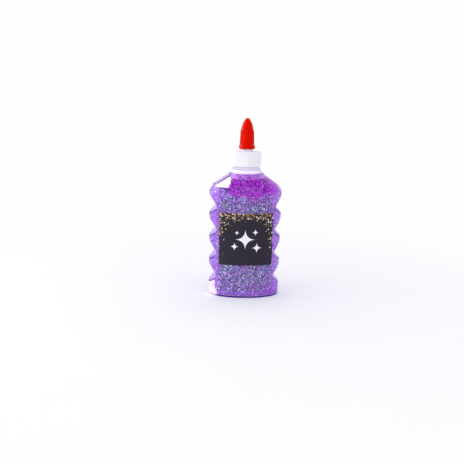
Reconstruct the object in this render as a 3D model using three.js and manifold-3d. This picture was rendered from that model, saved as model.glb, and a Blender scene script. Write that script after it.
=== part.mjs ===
// Squeeze bottle of glitter glue with a screw cap and a tip that twists up to open.
// Millimetres, +Z up. The bottle stands on z = 0 and its label faces -Y.
import * as THREE from "three";
import { mergeVertices } from "three/addons/utils/BufferGeometryUtils.js";
import Module from "manifold-3d";

const wasm = await Module();
wasm.setup();

// Bottle body
const crestHalfWidth = 33.0; // axis to the lobes, at the shoulder
const sideDraft = 0.0085; // half width lost per millimetre below the shoulder
const bodyHalfDepth = 19.1;
const shoulderHeight = 101.7; // lower edge of the shoulder's slope
const shoulderHalfWidth = 29.9;
const shoulderRound = 0.7;
const shoulderLip = 1.1; // upright strip under that edge
const shoulderLipFlare = 0.2;
const topLobeFall = 4.1; // from that edge down to the top lobe
const topLobeRound = 3.6;
const heelRound = 2.6;
const wall = 0.9;

// Finger grooves across both sides
const grooveCount = 4;
const lowestGroove = 19.4; // height of the lowest groove's floor
const groovePitch = 21.1;
const grooveDepth = 6.5;
const ledgeFall = 5.7; // from a groove's floor down to the lobe below it
const bellyRise = 9.2; // from a groove's floor up to the lobe above it
const grooveRound = 1.6;
const ledgeRound = 1.7;
const bellyRound = 3.2;
const grooveEdgeRound = 2.0; // where a groove breaks through the front and back panels

// Base
const footWidth = 3.6; // flat ring that the bottle stands on
const pushUp = 3.4; // height of the hollow under the base

// Neck
const shoulderRise = 11.7; // from the shoulder's edge up to the neck's root
const neckRootRadius = 14.3;
const neckFlareHeight = 2.8; // sweep from the shoulder's slope into the neck's root
const neckFlareRadius = 16.6;
const neckFlareRound = 3.0;
const neckWaistRadius = 12.8;
const collarRadius = 13.2;
const collarThickness = 1.5;
const collarToCap = 0.9;
const finishRadius = 10.2; // the part of the neck that the cap screws on
const finishWall = 1.6;

// Glue
const glueGap = 0.3;
const fillBelowNeck = 2.4;

// Label
const labelHalfWidth = 23.9;
const labelBottom = 30.4;
const labelHeight = 46.8;
const labelThickness = 0.15;
const labelGap = 0.12;

// Screw cap
const neckHeight = 4.6; // from the neck's root up to the cap
const capHeight = 13.3;
const threadRoom = 1.1; // between the neck's finish and the cap's bore
const capWall = 1.5;
const capRibCount = 60;
const capRibHeight = 0.4;
const capRibMargin = 0.6; // plain band above and below the ribs
const capEdgeRound = 0.45;
const deckThickness = 1.5;
const linerThickness = 1.0;
const linerGap = 0.3;

// Boss and spout on the cap
const bossRadius = 5.8;
const bossHeight = 1.9;
const bossRound = 0.3;
const spoutRadius = 4.2;
const spoutBore = 2.7;
const spoutRise = 16.2; // above the deck
const plugSeatRadius = 3.5;
const plugSeatDepth = 2.2;
const spoutBead = 0.4; // stands out of the spout and stops the tip at full lift
const spoutBeadHeight = 1.4;

// Twist tip
const tipSeatGap = 0.3;
const tipHeight = 27.1;
const tipLift = 3.5;
const flangeRadius = 7.3;
const flangeThickness = 2.4;
const flangeRound = 0.7;
const flangeFlare = 1.8; // slope from the flange up to the grip
const gripLowRadius = 6.6;
const gripHighRadius = 6.05;
const gripRise = 16.4; // top of the grip ribs above the flange's underside
const gripRibCount = 20;
const gripRibHeight = 0.4;
const noseLowRise = 4.3; // above the grip, where the nose begins to close in
const noseLowRadius = 4.9;
const noseHighRise = 8.3; // above the grip, where it closes in to the mouth
const noseHighRadius = 3.2;
const mouthWall = 0.35;
const tipClearance = 0.3; // running gap between the tip and the spout
const tipLipHeight = 1.2;
const tipShoulderGap = 0.7; // from the spout's top to where the tip's bore narrows

// Plug
const pinRadius = 0.7;
const pinClearance = 0.3; // between the pin and the tip's mouth
const pinRecess = 0.4; // pin top below the mouth
const plugClearance = 0.3;
const plugRingWidth = 0.9;
const plugRingHeight = 1.9;
const spokeCount = 3;
const spokeWidth = 0.9;
const spokeHeight = 1.1;

// Facets
const bodySegments = 36;
const capSegments = 36;
const tipSegments = 24;

// Radii and heights that follow from the sizes above
const neckBore = finishRadius - finishWall;
const capBore = finishRadius + threadRoom;
const capRoot = capBore + capWall; // the cap's ribs stand on it
const neckRootHeight = shoulderHeight + shoulderRise;
const capBottom = neckRootHeight + neckHeight;
const capTop = capBottom + capHeight;
const deckUnderside = capTop - deckThickness;
const rimHeight = deckUnderside - linerThickness;
const collarTop = capBottom - collarToCap;
const fillHeight = neckRootHeight - fillBelowNeck;
const spoutTop = capTop + spoutRise;
const plugSeat = spoutTop - plugSeatDepth;
const tipBottom = capTop + bossHeight + tipSeatGap;
const tipTop = tipBottom + tipHeight;
const mouthRadius = pinRadius + pinClearance;

// Colours taken from the object
const finish = {
  clear: { color: "#e9e2f6", roughness: 0.08, transparent: true, opacity: 0.3 },
  glue: { color: "#8d3fc4", roughness: 0.35, metalness: 0.1 },
  label: { color: "#332d3d", roughness: 0.55 },
  white: { color: "#f1f0f4", roughness: 0.4 },
  liner: { color: "#dcdce0", roughness: 0.8 },
  red: { color: "#d81c06", roughness: 0.32 },
};

// One corner of an outline: its half width, its height, and how far back from it the rounding starts.
function corner(reach, height, round = 0) {
  return { at: new THREE.Vector2(reach, height), round };
}

// Points of an outline with its corners rounded by quadratic curves.
function outline(corners, steps) {
  const path = new THREE.Path();
  path.moveTo(corners[0].at.x, corners[0].at.y);
  for (let i = 1; i < corners.length; i++) {
    const { at, round } = corners[i];
    if (round === 0 || i === corners.length - 1) {
      path.lineTo(at.x, at.y);
      continue;
    }
    const before = towards(at, corners[i - 1].at, round);
    const after = towards(at, corners[i + 1].at, round);
    path.lineTo(before.x, before.y);
    path.quadraticCurveTo(at.x, at.y, after.x, after.y);
  }
  return path.getPoints(steps);
}

// The point a given way from one point towards another, never past halfway.
function towards(from, to, distance) {
  const share = Math.min(distance / from.distanceTo(to), 0.5);
  return from.clone().lerp(to, share);
}

// An outline's reach at a height.
function reachAt(points, height) {
  const above = points.findIndex((p) => p.y >= height);
  if (above <= 0) return points[above < 0 ? points.length - 1 : 0].x;
  const [low, high] = [points[above - 1], points[above]];
  return THREE.MathUtils.mapLinear(height, low.y, high.y, low.x, high.x);
}

// Half width of the lobes at a height, with the sides' draft.
function crestAt(height) {
  return crestHalfWidth - sideDraft * (shoulderHeight - height);
}

function grooveFloor(index) {
  return lowestGroove + index * groovePitch;
}

// Side outline of the bottle from its foot to the root of the neck, grooves included.
function sideCorners() {
  const corners = [
    corner(crestAt(0) - heelRound, 0),
    corner(crestAt(0), 0, heelRound),
  ];
  for (let i = 0; i < grooveCount; i++) {
    const floor = grooveFloor(i);
    const ledge = floor - ledgeFall;
    const belly = floor + bellyRise;
    corners.push(
      corner(crestAt(ledge), ledge, ledgeRound),
      corner(crestAt(floor) - grooveDepth, floor, grooveRound),
      corner(crestAt(belly), belly, bellyRound),
    );
  }
  const topLobe = shoulderHeight - topLobeFall;
  corners.push(
    corner(crestAt(topLobe), topLobe, topLobeRound),
    corner(shoulderHalfWidth + shoulderLipFlare, shoulderHeight - shoulderLip, shoulderRound),
    corner(shoulderHalfWidth, shoulderHeight, shoulderRound),
    ...neckCorners(),
  );
  return corners;
}

// Foot of the neck: where the shoulder's slope sweeps up, and the root of the neck.
function neckCorners() {
  return [
    corner(neckFlareRadius, neckRootHeight - neckFlareHeight, neckFlareRound),
    corner(neckRootRadius, neckRootHeight),
  ];
}

// Front outline of the bottle, which has no grooves.
function frontCorners() {
  return [
    corner(bodyHalfDepth - heelRound, 0),
    corner(bodyHalfDepth, 0, heelRound),
    corner(bodyHalfDepth, shoulderHeight, shoulderRound),
    ...neckCorners(),
  ];
}

// An outline moved inwards, square to itself.
function insetOutline(points, depth) {
  return points.map((point, i) => {
    const before = points[Math.max(i - 1, 0)];
    const after = points[Math.min(i + 1, points.length - 1)];
    const arriving = point.clone().sub(before).normalize();
    const leaving = after.clone().sub(point).normalize();
    const along = arriving.add(leaving).normalize();
    return new THREE.Vector2(point.x - along.y * depth, point.y + along.x * depth);
  });
}

// Horizontal sections of the bottle, bottom to top, at a depth below its surface:
// half width, half depth and how far the ends are planed back.
function bodyStations(steps, depth) {
  const front = insetOutline(outline(frontCorners(), 6), depth);
  const side = insetOutline(outline(sideCorners(), steps), depth);
  const lowest = grooveFloor(0) - ledgeFall - ledgeRound;
  const highest = grooveFloor(grooveCount - 1) + bellyRise + bellyRound;
  return side.map(({ x, y }) => {
    const grooved = y > lowest && y < highest;
    const halfWidth = grooved ? Math.max(x, crestAt(y) - depth) : x;
    return { height: y, halfWidth, halfDepth: reachAt(front, y), planed: halfWidth - x };
  });
}

// A coordinate across a section after its end has been planed off, with a rounded edge.
function planedBack(x, { halfWidth, planed }) {
  const round = grooveEdgeRound;
  const past = planed < round ? 2 * Math.sqrt(round * planed) - round : planed;
  const over = x - (halfWidth - past);
  if (over <= -round) return x;
  return over >= round ? x - over : x - (over + round) ** 2 / (4 * round);
}

// One ring of points round a section of the body.
function sectionRing(station) {
  return turns(bodySegments).map((angle) => {
    const x = station.halfWidth * Math.cos(angle);
    const y = station.halfDepth * Math.sin(angle);
    const across = Math.sign(x) * planedBack(Math.abs(x), station);
    return new THREE.Vector3(across, y, station.height);
  });
}

// Angles of a full turn in equal steps.
function turns(count) {
  return Array.from({ length: count }, (_, i) => (i / count) * 2 * Math.PI);
}

function circleRing(radius, height, count = bodySegments) {
  return turns(count).map(
    (angle) => new THREE.Vector3(radius * Math.cos(angle), radius * Math.sin(angle), height),
  );
}

// Ring of a ribbed round bar: a cosine wave of the given height stands on the root radius.
function ribbedRing(root, ribHeight, ribCount, height) {
  return turns(ribCount * 3).map((angle) => {
    const radius = root + (ribHeight * (1 + Math.cos(ribCount * angle))) / 2;
    return new THREE.Vector3(radius * Math.cos(angle), radius * Math.sin(angle), height);
  });
}

function pole(height) {
  return [new THREE.Vector3(0, 0, height)];
}

// Rings of the body at a depth below its surface, from the middle of the base up to the neck's root.
function bodyRings(steps, depth = 0) {
  const stations = bodyStations(steps, depth);
  const foot = {
    halfWidth: crestAt(0) - heelRound - footWidth,
    halfDepth: bodyHalfDepth - heelRound - footWidth,
    planed: 0,
  };
  const dome = [1 / 3, 2 / 3, 1].map((share) =>
    sectionRing({
      ...foot,
      halfWidth: foot.halfWidth * share,
      halfDepth: foot.halfDepth * share,
      height: depth + pushUp * (1 - share ** 2),
    }),
  );
  return [pole(pushUp + depth), ...dome, ...stations.map(sectionRing)];
}

// Closed surface over a row of rings. The first and last are single points, or rings with a flat end.
function loft(rings) {
  const points = rings.flat();
  const index = [...flatEnd(rings[0], 0).reverse()];
  let start = 0;
  for (let i = 0; i + 1 < rings.length; i++) {
    index.push(...band(points, start, rings[i].length, rings[i + 1].length));
    start += rings[i].length;
  }
  index.push(...flatEnd(rings[rings.length - 1], start));
  const geometry = new THREE.BufferGeometry().setFromPoints(points);
  geometry.setIndex(index);
  return geometry;
}

// Triangles between one ring and the next, either of which may be a single point.
function band(points, start, lowerCount, upperCount) {
  const index = [];
  const count = Math.max(lowerCount, upperCount);
  for (let j = 0; j < count; j++) {
    const next = (j + 1) % count;
    const lower = [start + (j % lowerCount), start + (next % lowerCount)];
    const upper = [j, next].map((k) => start + lowerCount + (k % upperCount));
    if (lowerCount === 1) index.push(lower[0], upper[1], upper[0]);
    else if (upperCount === 1) index.push(lower[0], lower[1], upper[0]);
    else index.push(...splitQuad(points, [...lower, upper[1], upper[0]]));
  }
  return index;
}

// Two triangles over a four-sided facet, split along its shorter diagonal.
function splitQuad(points, [a, b, c, d]) {
  const straight = points[a].distanceTo(points[c]) <= points[b].distanceTo(points[d]);
  return straight ? [a, b, c, a, c, d] : [a, b, d, b, c, d];
}

// Triangles over a flat ring, fanned from its first point.
function flatEnd(ring, start) {
  const fan = [];
  for (let j = 1; j + 1 < ring.length; j++) {
    fan.push(start, start + j, start + j + 1);
  }
  return fan;
}

// A profile of corners turned about the Z axis. It starts and ends on the axis, or closes on itself.
function revolve(corners, segments, steps = 3) {
  const geometry = new THREE.LatheGeometry(outline(corners, steps), segments);
  return geometry.rotateX(Math.PI / 2);
}

// A geometry as a solid that can be joined and cut.
function solid(geometry) {
  const bare = geometry.clone();
  bare.deleteAttribute("normal");
  bare.deleteAttribute("uv");
  const merged = mergeVertices(bare, 1e-4);
  return new wasm.Manifold(
    new wasm.Mesh({
      numProp: 3,
      vertProperties: new Float32Array(merged.attributes.position.array),
      triVerts: new Uint32Array(merged.index.array),
    }),
  );
}

// A joined or cut solid as a geometry.
function geometryOf(body) {
  const mesh = body.getMesh();
  const geometry = new THREE.BufferGeometry();
  geometry.setAttribute("position", new THREE.BufferAttribute(mesh.vertProperties, 3));
  geometry.setIndex(new THREE.BufferAttribute(mesh.triVerts, 1));
  return geometry;
}

function piece(name, geometry, look) {
  const mesh = new THREE.Mesh(geometry, new THREE.MeshStandardMaterial(look));
  mesh.name = name;
  geometry.computeVertexNormals();
  return mesh;
}

// Neck rings from its root up over the collar to the rim, and down the bore.
function neckRings() {
  const collarBottom = collarTop - collarThickness;
  const outside = [
    [neckWaistRadius, (neckRootHeight + collarBottom) / 2],
    [neckWaistRadius, collarBottom],
    [collarRadius, collarBottom + collarThickness / 3],
    [collarRadius, collarTop - collarThickness / 3],
    [finishRadius, collarTop],
    [finishRadius, rimHeight],
    [neckBore, rimHeight],
    [neckBore, collarBottom],
  ];
  return outside.map(([radius, height]) => circleRing(radius, height));
}

function bottle() {
  const inside = bodyRings(1, wall).reverse();
  return piece("bottle", loft([...bodyRings(2), ...neckRings(), ...inside]), finish.clear);
}

// The glue fills the bottle to a level just below the neck.
function glue() {
  const rings = bodyRings(1, wall + glueGap);
  const level = rings.findIndex((ring) => ring[0].z > fillHeight);
  const [below, above] = [rings[level - 1], rings[level]];
  const surface = below.map((point, j) => {
    const share = (fillHeight - point.z) / (above[j].z - point.z);
    return point.clone().lerp(above[j], share);
  });
  const filled = rings.slice(0, level);
  return piece("glue", loft([...filled, surface, pole(fillHeight)]), finish.glue);
}

// A thin sheet bent over the front panel.
function frontLabel() {
  const columns = 24;
  const rings = Array.from({ length: columns + 1 }, (_, i) => {
    const x = THREE.MathUtils.lerp(-labelHalfWidth, labelHalfWidth, i / columns);
    const edge = (height, lift) => new THREE.Vector3(x, -panelDepth(x, height) - lift, height);
    const top = labelBottom + labelHeight;
    const outer = labelGap + labelThickness;
    return [edge(labelBottom, outer), edge(labelBottom, labelGap), edge(top, labelGap), edge(top, outer)];
  });
  return piece("front_label", loft(rings), finish.label);
}

// Depth of the front panel at a place across it.
function panelDepth(x, height) {
  return bodyHalfDepth * Math.sqrt(1 - (x / crestAt(height)) ** 2);
}

function capLiner() {
  const outer = capBore - linerGap;
  const ring = [
    corner(neckBore, rimHeight),
    corner(outer, rimHeight),
    corner(outer, deckUnderside),
    corner(neckBore, deckUnderside),
    corner(neckBore, rimHeight),
  ];
  return piece("cap_liner", revolve(ring, capSegments), finish.liner);
}

// Cap with its spout, as a full form without its bores.
function capForm() {
  const beadBottom = tipBottom + tipLipHeight + tipLift + tipClearance;
  const beadTop = beadBottom + spoutBeadHeight;
  const body = revolve(
    [
      corner(0, capBottom),
      corner(capRoot, capBottom),
      corner(capRoot, capTop, capEdgeRound),
      corner(bossRadius, capTop),
      corner(bossRadius, capTop + bossHeight, bossRound),
      corner(spoutRadius, capTop + bossHeight),
      corner(spoutRadius, beadBottom),
      corner(spoutRadius + spoutBead, beadBottom + spoutBead),
      corner(spoutRadius + spoutBead, beadTop - spoutBead),
      corner(spoutRadius, beadTop),
      corner(spoutRadius, spoutTop),
      corner(0, spoutTop),
    ],
    capSegments,
  );
  const low = capBottom + capRibMargin;
  const high = capTop - capRibMargin;
  const ribs = [low, high].map((height) => ribbedRing(capRoot, capRibHeight, capRibCount, height));
  return solid(body).add(solid(loft([pole(low), ...ribs, pole(high)])));
}

function screwCap() {
  const past = 1; // the bores run on past both ends
  const bores = revolve(
    [
      corner(0, capBottom - past),
      corner(capBore, capBottom - past),
      corner(capBore, deckUnderside),
      corner(spoutBore, deckUnderside),
      corner(spoutBore, plugSeat),
      corner(plugSeatRadius, plugSeat),
      corner(plugSeatRadius, spoutTop + past),
      corner(0, spoutTop + past),
    ],
    capSegments,
  );
  return piece("screw_cap", geometryOf(capForm().subtract(solid(bores))), finish.white);
}

// Pin that closes the mouth, on spokes in a ring that sits in the top of the spout.
function spoutPlug() {
  const outer = plugSeatRadius - plugClearance;
  const inner = outer - plugRingWidth;
  const ringTop = plugSeat + plugRingHeight;
  const ring = revolve(
    [
      corner(inner, plugSeat),
      corner(outer, plugSeat),
      corner(outer, ringTop),
      corner(inner, ringTop),
      corner(inner, plugSeat),
    ],
    tipSegments,
  );
  const pinTop = tipTop - pinRecess;
  const pin = revolve(
    [
      corner(0, plugSeat),
      corner(pinRadius, plugSeat),
      corner(pinRadius, pinTop, pinRadius / 2),
      corner(0, pinTop),
    ],
    tipSegments / 2,
  );
  let body = solid(ring).add(solid(pin));
  const reach = (inner + outer) / 2;
  for (const angle of turns(spokeCount)) {
    const spoke = new THREE.BoxGeometry(reach, spokeWidth, spokeHeight);
    spoke.translate(reach / 2, 0, plugSeat + plugRingHeight / 2).rotateZ(angle);
    body = body.add(solid(spoke));
  }
  return piece("spout_plug", geometryOf(body), finish.white);
}

// Bullet-shaped outside of the tip: flange, flared root, ribbed grip and rounded nose.
function tipForm() {
  const flangeTop = tipBottom + flangeThickness;
  const gripTop = tipBottom + gripRise;
  const low = flangeTop + flangeFlare;
  const body = revolve(
    [
      corner(0, tipBottom),
      corner(flangeRadius, tipBottom, flangeRound),
      corner(flangeRadius, flangeTop, flangeRound),
      corner(gripLowRadius - gripRibHeight, low, flangeRound),
      corner(gripHighRadius - gripRibHeight, gripTop, gripRibHeight),
      corner(noseLowRadius, gripTop + noseLowRise, tipHeight),
      corner(noseHighRadius, gripTop + noseHighRise, tipHeight),
      corner(mouthRadius + mouthWall, tipTop),
      corner(0, tipTop),
    ],
    tipSegments,
  );
  const ribs = [
    ribbedRing(gripLowRadius - gripRibHeight, gripRibHeight, gripRibCount, low),
    ribbedRing(gripHighRadius - gripRibHeight, gripRibHeight, gripRibCount, gripTop),
  ];
  return solid(body).add(solid(loft([pole(low), ...ribs, pole(gripTop)])));
}

function twistTip() {
  const past = 1; // the bore runs on past both ends
  const lip = spoutRadius + tipClearance;
  const bore = spoutRadius + spoutBead + tipClearance;
  const lipTop = tipBottom + tipLipHeight;
  const shoulder = spoutTop + tipShoulderGap;
  const throat = tipTop - tipLift - pinRecess / 2;
  const hollow = revolve(
    [
      corner(0, tipBottom - past),
      corner(lip, tipBottom - past),
      corner(lip, lipTop),
      corner(bore, lipTop + spoutBead),
      corner(bore, shoulder, tipShoulderGap),
      corner(mouthRadius, throat),
      corner(mouthRadius, tipTop + past),
      corner(0, tipTop + past),
    ],
    tipSegments,
  );
  return piece("twist_tip", geometryOf(tipForm().subtract(solid(hollow))), finish.red);
}

const closure = new THREE.Group();
closure.add(capLiner(), screwCap(), spoutPlug(), twistTip());

const glueBottle = new THREE.Group();
glueBottle.add(bottle(), glue(), frontLabel(), closure);

export default glueBottle;
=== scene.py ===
"""Blender scene of a clear squeeze bottle of glitter glue.

It has a screw cap and a tip that twists up to open. Sizes are in millimetres and in the frame of the
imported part: +Z up, the label faces -Y.
"""

from __future__ import annotations

import logging
import math
from dataclasses import dataclass, field
from enum import Enum
from functools import reduce
from typing import Any, Callable, Optional, Sequence, Union

import bpy
import numpy as np
from mathutils import Matrix, Vector

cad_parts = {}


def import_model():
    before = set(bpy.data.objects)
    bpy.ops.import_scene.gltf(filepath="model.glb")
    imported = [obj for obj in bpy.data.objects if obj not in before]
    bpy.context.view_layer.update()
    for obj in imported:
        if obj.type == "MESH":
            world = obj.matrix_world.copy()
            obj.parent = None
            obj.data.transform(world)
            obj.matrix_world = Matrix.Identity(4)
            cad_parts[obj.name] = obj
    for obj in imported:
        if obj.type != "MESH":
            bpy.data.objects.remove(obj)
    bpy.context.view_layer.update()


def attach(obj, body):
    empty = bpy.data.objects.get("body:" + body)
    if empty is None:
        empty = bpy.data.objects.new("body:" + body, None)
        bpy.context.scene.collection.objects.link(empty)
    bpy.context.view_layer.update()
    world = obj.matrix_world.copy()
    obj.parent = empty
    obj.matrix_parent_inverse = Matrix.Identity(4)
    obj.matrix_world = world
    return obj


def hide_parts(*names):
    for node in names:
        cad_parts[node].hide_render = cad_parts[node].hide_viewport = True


MM = 0.001
LOG = logging.getLogger("glitter_glue")

Colour = tuple[float, float, float, float]
Stops = tuple[tuple[float, Colour], ...]
Value = Union["Wire", float, int, Sequence[float]]
Relief = Callable[[np.ndarray, np.ndarray, np.ndarray], np.ndarray]
BLACK: Colour = (0.0, 0.0, 0.0, 1.0)
WHITE: Colour = (1.0, 1.0, 1.0, 1.0)
NECK_PITCH = 3.175
CAM_PITCH = 4.667
CAM_START = 140.7


def srgb(code: str) -> Colour:
    """Turns a colour written as six hexadecimal digits into linear values.

    Args:
        code: Red, green and blue as on a screen, two digits each.

    Returns:
        The linear colour with full alpha.
    """
    shown = [int(code[i : i + 2], 16) / 255 for i in (0, 2, 4)]
    linear = [c / 12.92 if c <= 0.04045 else ((c + 0.055) / 1.055) ** 2.4 for c in shown]
    return (linear[0], linear[1], linear[2], 1.0)


@dataclass(frozen=True)
class Fade:
    """A smooth change: where it begins and is complete, and the results before and after it."""

    low: float
    high: float
    start: float = 0.0
    end: float = 1.0

    def at(self, values: np.ndarray) -> np.ndarray:
        """The result for each of some values."""
        share = np.clip((values - self.low) / (self.high - self.low), 0, 1)
        return self.start + (self.end - self.start) * (share * share * (3 - 2 * share))


class Wire:
    """A socket of a shader tree that takes part in Python expressions."""

    def __init__(self, tree: ShaderTree, socket: bpy.types.NodeSocket) -> None:
        """Keeps the socket and the tree that it belongs to."""
        self.tree = tree
        self.socket = socket

    @property
    def is_vector(self) -> bool:
        """Whether the socket carries a vector or a colour."""
        return self.socket.type in {"VECTOR", "RGBA"}

    def _join(self, operation: str, first: Value, second: Value) -> Wire:
        """Adds the node for one operation.

        Args:
            operation: Name of the operation, which Math and Vector Math share.
            first: Left operand.
            second: Right operand.

        Returns:
            The result.
        """
        pair = (first, second)
        if any(isinstance(v, Wire) and v.is_vector for v in pair):
            spread = [(v, v, v) if isinstance(v, (int, float)) else v for v in pair]
            return self.tree.add("ShaderNodeVectorMath", {"operation": operation}, dict(enumerate(spread)))
        return self.tree.add("ShaderNodeMath", {"operation": operation}, dict(enumerate(pair)))

    def __add__(self, other: Value) -> Wire:
        """Sum."""
        return self._join("ADD", self, other)

    def __radd__(self, other: Value) -> Wire:
        """Sum with this on the right."""
        return self._join("ADD", other, self)

    def __sub__(self, other: Value) -> Wire:
        """Difference."""
        return self._join("SUBTRACT", self, other)

    def __rsub__(self, other: Value) -> Wire:
        """Difference with this on the right."""
        return self._join("SUBTRACT", other, self)

    def __mul__(self, other: Value) -> Wire:
        """Product."""
        return self._join("MULTIPLY", self, other)

    def __rmul__(self, other: Value) -> Wire:
        """Product with this on the right."""
        return self._join("MULTIPLY", other, self)

    def __truediv__(self, other: Value) -> Wire:
        """Quotient."""
        return self._join("DIVIDE", self, other)

    def __rtruediv__(self, other: Value) -> Wire:
        """Quotient with this on the right."""
        return self._join("DIVIDE", other, self)

    def __pow__(self, other: Value) -> Wire:
        """Power."""
        return self._join("POWER", self, other)

    def __rpow__(self, other: Value) -> Wire:
        """Power with this as the exponent."""
        return self._join("POWER", other, self)

    def __mod__(self, other: Value) -> Wire:
        """Remainder."""
        return self._join("MODULO", self, other)

    def __rmod__(self, other: Value) -> Wire:
        """Remainder with this as the divisor."""
        return self._join("MODULO", other, self)

    def __lt__(self, other: Value) -> Wire:
        """One where this is the smaller, else nought."""
        return self._join("LESS_THAN", self, other)

    def __gt__(self, other: Value) -> Wire:
        """One where this is the larger, else nought."""
        return self._join("GREATER_THAN", self, other)

    def __abs__(self) -> Wire:
        """Size without its sign."""
        return self.tree.add("ShaderNodeMath", {"operation": "ABSOLUTE"}, {0: self})

    def larger(self, other: Value) -> Wire:
        """The larger of this and another value."""
        return self._join("MAXIMUM", self, other)

    def smaller(self, other: Value) -> Wire:
        """The smaller of this and another value."""
        return self._join("MINIMUM", self, other)


class ShaderTree:
    """The nodes of one material or of the world."""

    def __init__(self, tree: bpy.types.NodeTree) -> None:
        """Empties the tree so that it holds only what is added here.

        Args:
            tree: Node tree of a material or of the world.
        """
        self.nodes = tree.nodes
        self.links = tree.links
        self.nodes.clear()

    def add(
        self,
        kind: str,
        settings: Optional[dict[str, Any]] = None,
        inputs: Optional[dict[Union[str, int], Value]] = None,
        output: Union[str, int] = 0,
    ) -> Wire:
        """Adds one node.

        Args:
            kind: Type of the node.
            settings: Properties, set first. The stops of a ramp are pairs of place and colour.
            inputs: Values or links of the sockets, by name or number.
            output: Name or number of the output that is wanted.

        Returns:
            The wanted output.
        """
        node = self.nodes.new(kind)
        for key, value in (settings or {}).items():
            if key == "stops":
                self._set_stops(node.color_ramp, value)
            else:
                setattr(node, key, value)
        for key, value in (inputs or {}).items():
            if isinstance(value, Wire):
                self.links.new(value.socket, node.inputs[key])
            else:
                node.inputs[key].default_value = value
        return Wire(self, node.outputs[output])

    @staticmethod
    def _set_stops(ramp: bpy.types.ColorRamp, stops: Stops) -> None:
        """Writes the stops of a ramp.

        Args:
            ramp: The ramp, which has two stops at first.
            stops: Pairs of place and colour, from low to high.
        """
        while len(ramp.elements) < len(stops):
            ramp.elements.new(1.0)
        for element, (place, colour) in zip(ramp.elements, stops):
            element.position = place
            element.color = colour

    def close(self, kind: str, surface: Wire) -> None:
        """Links a surface to the output node of the tree.

        Args:
            kind: Type of the output node.
            surface: The shader to show.
        """
        end = self.nodes.new(kind)
        self.links.new(surface.socket, end.inputs["Surface"])

    def place(self) -> Wire:
        """Position in the part's frame, in millimetres."""
        metres = self.add("ShaderNodeTexCoord", output="Object")
        return metres * (1 / MM)

    def split(self, vector: Wire) -> tuple[Wire, Wire, Wire]:
        """Parts of a vector or colour.

        Args:
            vector: What to split.

        Returns:
            Its three values.
        """
        x = self.add("ShaderNodeSeparateXYZ", inputs={0: vector})
        node = x.socket.node
        return x, Wire(self, node.outputs[1]), Wire(self, node.outputs[2])

    def mix(self, share: Value, first: Value, second: Value) -> Wire:
        """Blends two colours.

        Args:
            share: How much of the second.
            first: Colour at nought.
            second: Colour at one.

        Returns:
            The blend.
        """
        inputs = {0: share, 6: first, 7: second}
        return self.add("ShaderNodeMix", {"data_type": "RGBA"}, inputs, output=2)

    def ease(self, value: Value, fade: Fade) -> Wire:
        """Goes smoothly from one result to another.

        Args:
            value: What is read.
            fade: Where it goes, and from what to what.

        Returns:
            The eased value.
        """
        inputs = {
            "Value": value,
            "From Min": fade.low,
            "From Max": fade.high,
            "To Min": fade.start,
            "To Max": fade.end,
        }
        return self.add("ShaderNodeMapRange", {"interpolation_type": "SMOOTHSTEP"}, inputs)

    def noise(self, place: Wire, grain: float, detail: float = 2.0) -> Wire:
        """Soft noise from nought to one.

        Args:
            place: Position in millimetres.
            grain: Size of its blotches in millimetres.
            detail: How many finer layers it has.

        Returns:
            The noise.
        """
        inputs = {"Vector": place, "Scale": 1 / grain, "Detail": detail, "Roughness": 0.55}
        return self.add("ShaderNodeTexNoise", inputs=inputs)

    def cells(self, place: Wire, pitch: float, scatter: float = 1.0, flat: bool = False) -> tuple[Wire, Wire]:
        """Cells round scattered points.

        Args:
            place: Position in millimetres.
            pitch: Usual distance between the points, in millimetres.
            scatter: How irregular they are, up to one.
            flat: Whether only the first two values of the position count.

        Returns:
            The distance to the nearest point in pitches, and that cell's random colour.
        """
        settings = {"voronoi_dimensions": "2D" if flat else "3D"}
        inputs = {"Vector": place, "Scale": 1 / pitch, "Randomness": scatter}
        distance = self.add("ShaderNodeTexVoronoi", settings, inputs, output="Distance")
        return distance, Wire(self, distance.socket.node.outputs["Color"])

    def ramp(self, value: Value, stops: Stops) -> Wire:
        """Colour picked from a row of colours, with hard steps between them.

        Args:
            value: Place on the row, from nought to one.
            stops: Pairs of the place where a colour begins and the colour.

        Returns:
            The colour.
        """
        picked = self.add("ShaderNodeValToRGB", {"stops": stops}, {0: value})
        picked.socket.node.color_ramp.interpolation = "CONSTANT"
        return picked

    def bump(self, height: Wire, depth: float, strength: float = 1.0) -> Wire:
        """Normal of a surface with relief.

        Args:
            height: Relief from nought to one.
            depth: Its full height in millimetres.
            strength: How much of it shows.

        Returns:
            The normal.
        """
        inputs = {"Height": height, "Distance": depth * MM, "Strength": strength}
        return self.add("ShaderNodeBump", inputs=inputs)

    def rays(self, *kinds: str) -> Wire:
        """One for rays of the given kinds, else nought.

        Args:
            kinds: Names of outputs of the Light Path node.

        Returns:
            The mask.
        """
        outputs = self.add("ShaderNodeLightPath").socket.node.outputs
        return self.largest(*(Wire(self, outputs[kind]) for kind in kinds))

    @staticmethod
    def largest(*masks: Wire) -> Wire:
        """The largest of some masks at each point."""
        return reduce(Wire.larger, masks)

    def principled(self, inputs: dict[Union[str, int], Value]) -> Wire:
        """A Principled shader with some of its sockets set."""
        return self.add("ShaderNodeBsdfPrincipled", inputs=inputs)

    def blend(self, share: Wire, first: Wire, second: Wire) -> Wire:
        """A blend of two shaders, with this share of the second."""
        return self.add("ShaderNodeMixShader", inputs={0: share, 1: first, 2: second})


@dataclass(frozen=True)
class Finish:
    """A surface finish, which makes its own material."""

    name: str

    def material(self) -> bpy.types.Material:
        """Makes the material.

        Returns:
            The material, under the finish's name.
        """
        made = bpy.data.materials.new(self.name)
        made.use_nodes = True
        tree = ShaderTree(made.node_tree)
        tree.close("ShaderNodeOutputMaterial", self.surface(tree))
        return made

    def surface(self, tree: ShaderTree) -> Wire:
        """Adds the finish's nodes; each finish has its own.

        Args:
            tree: Where the nodes go.

        Returns:
            The shader.
        """
        raise NotImplementedError


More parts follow.
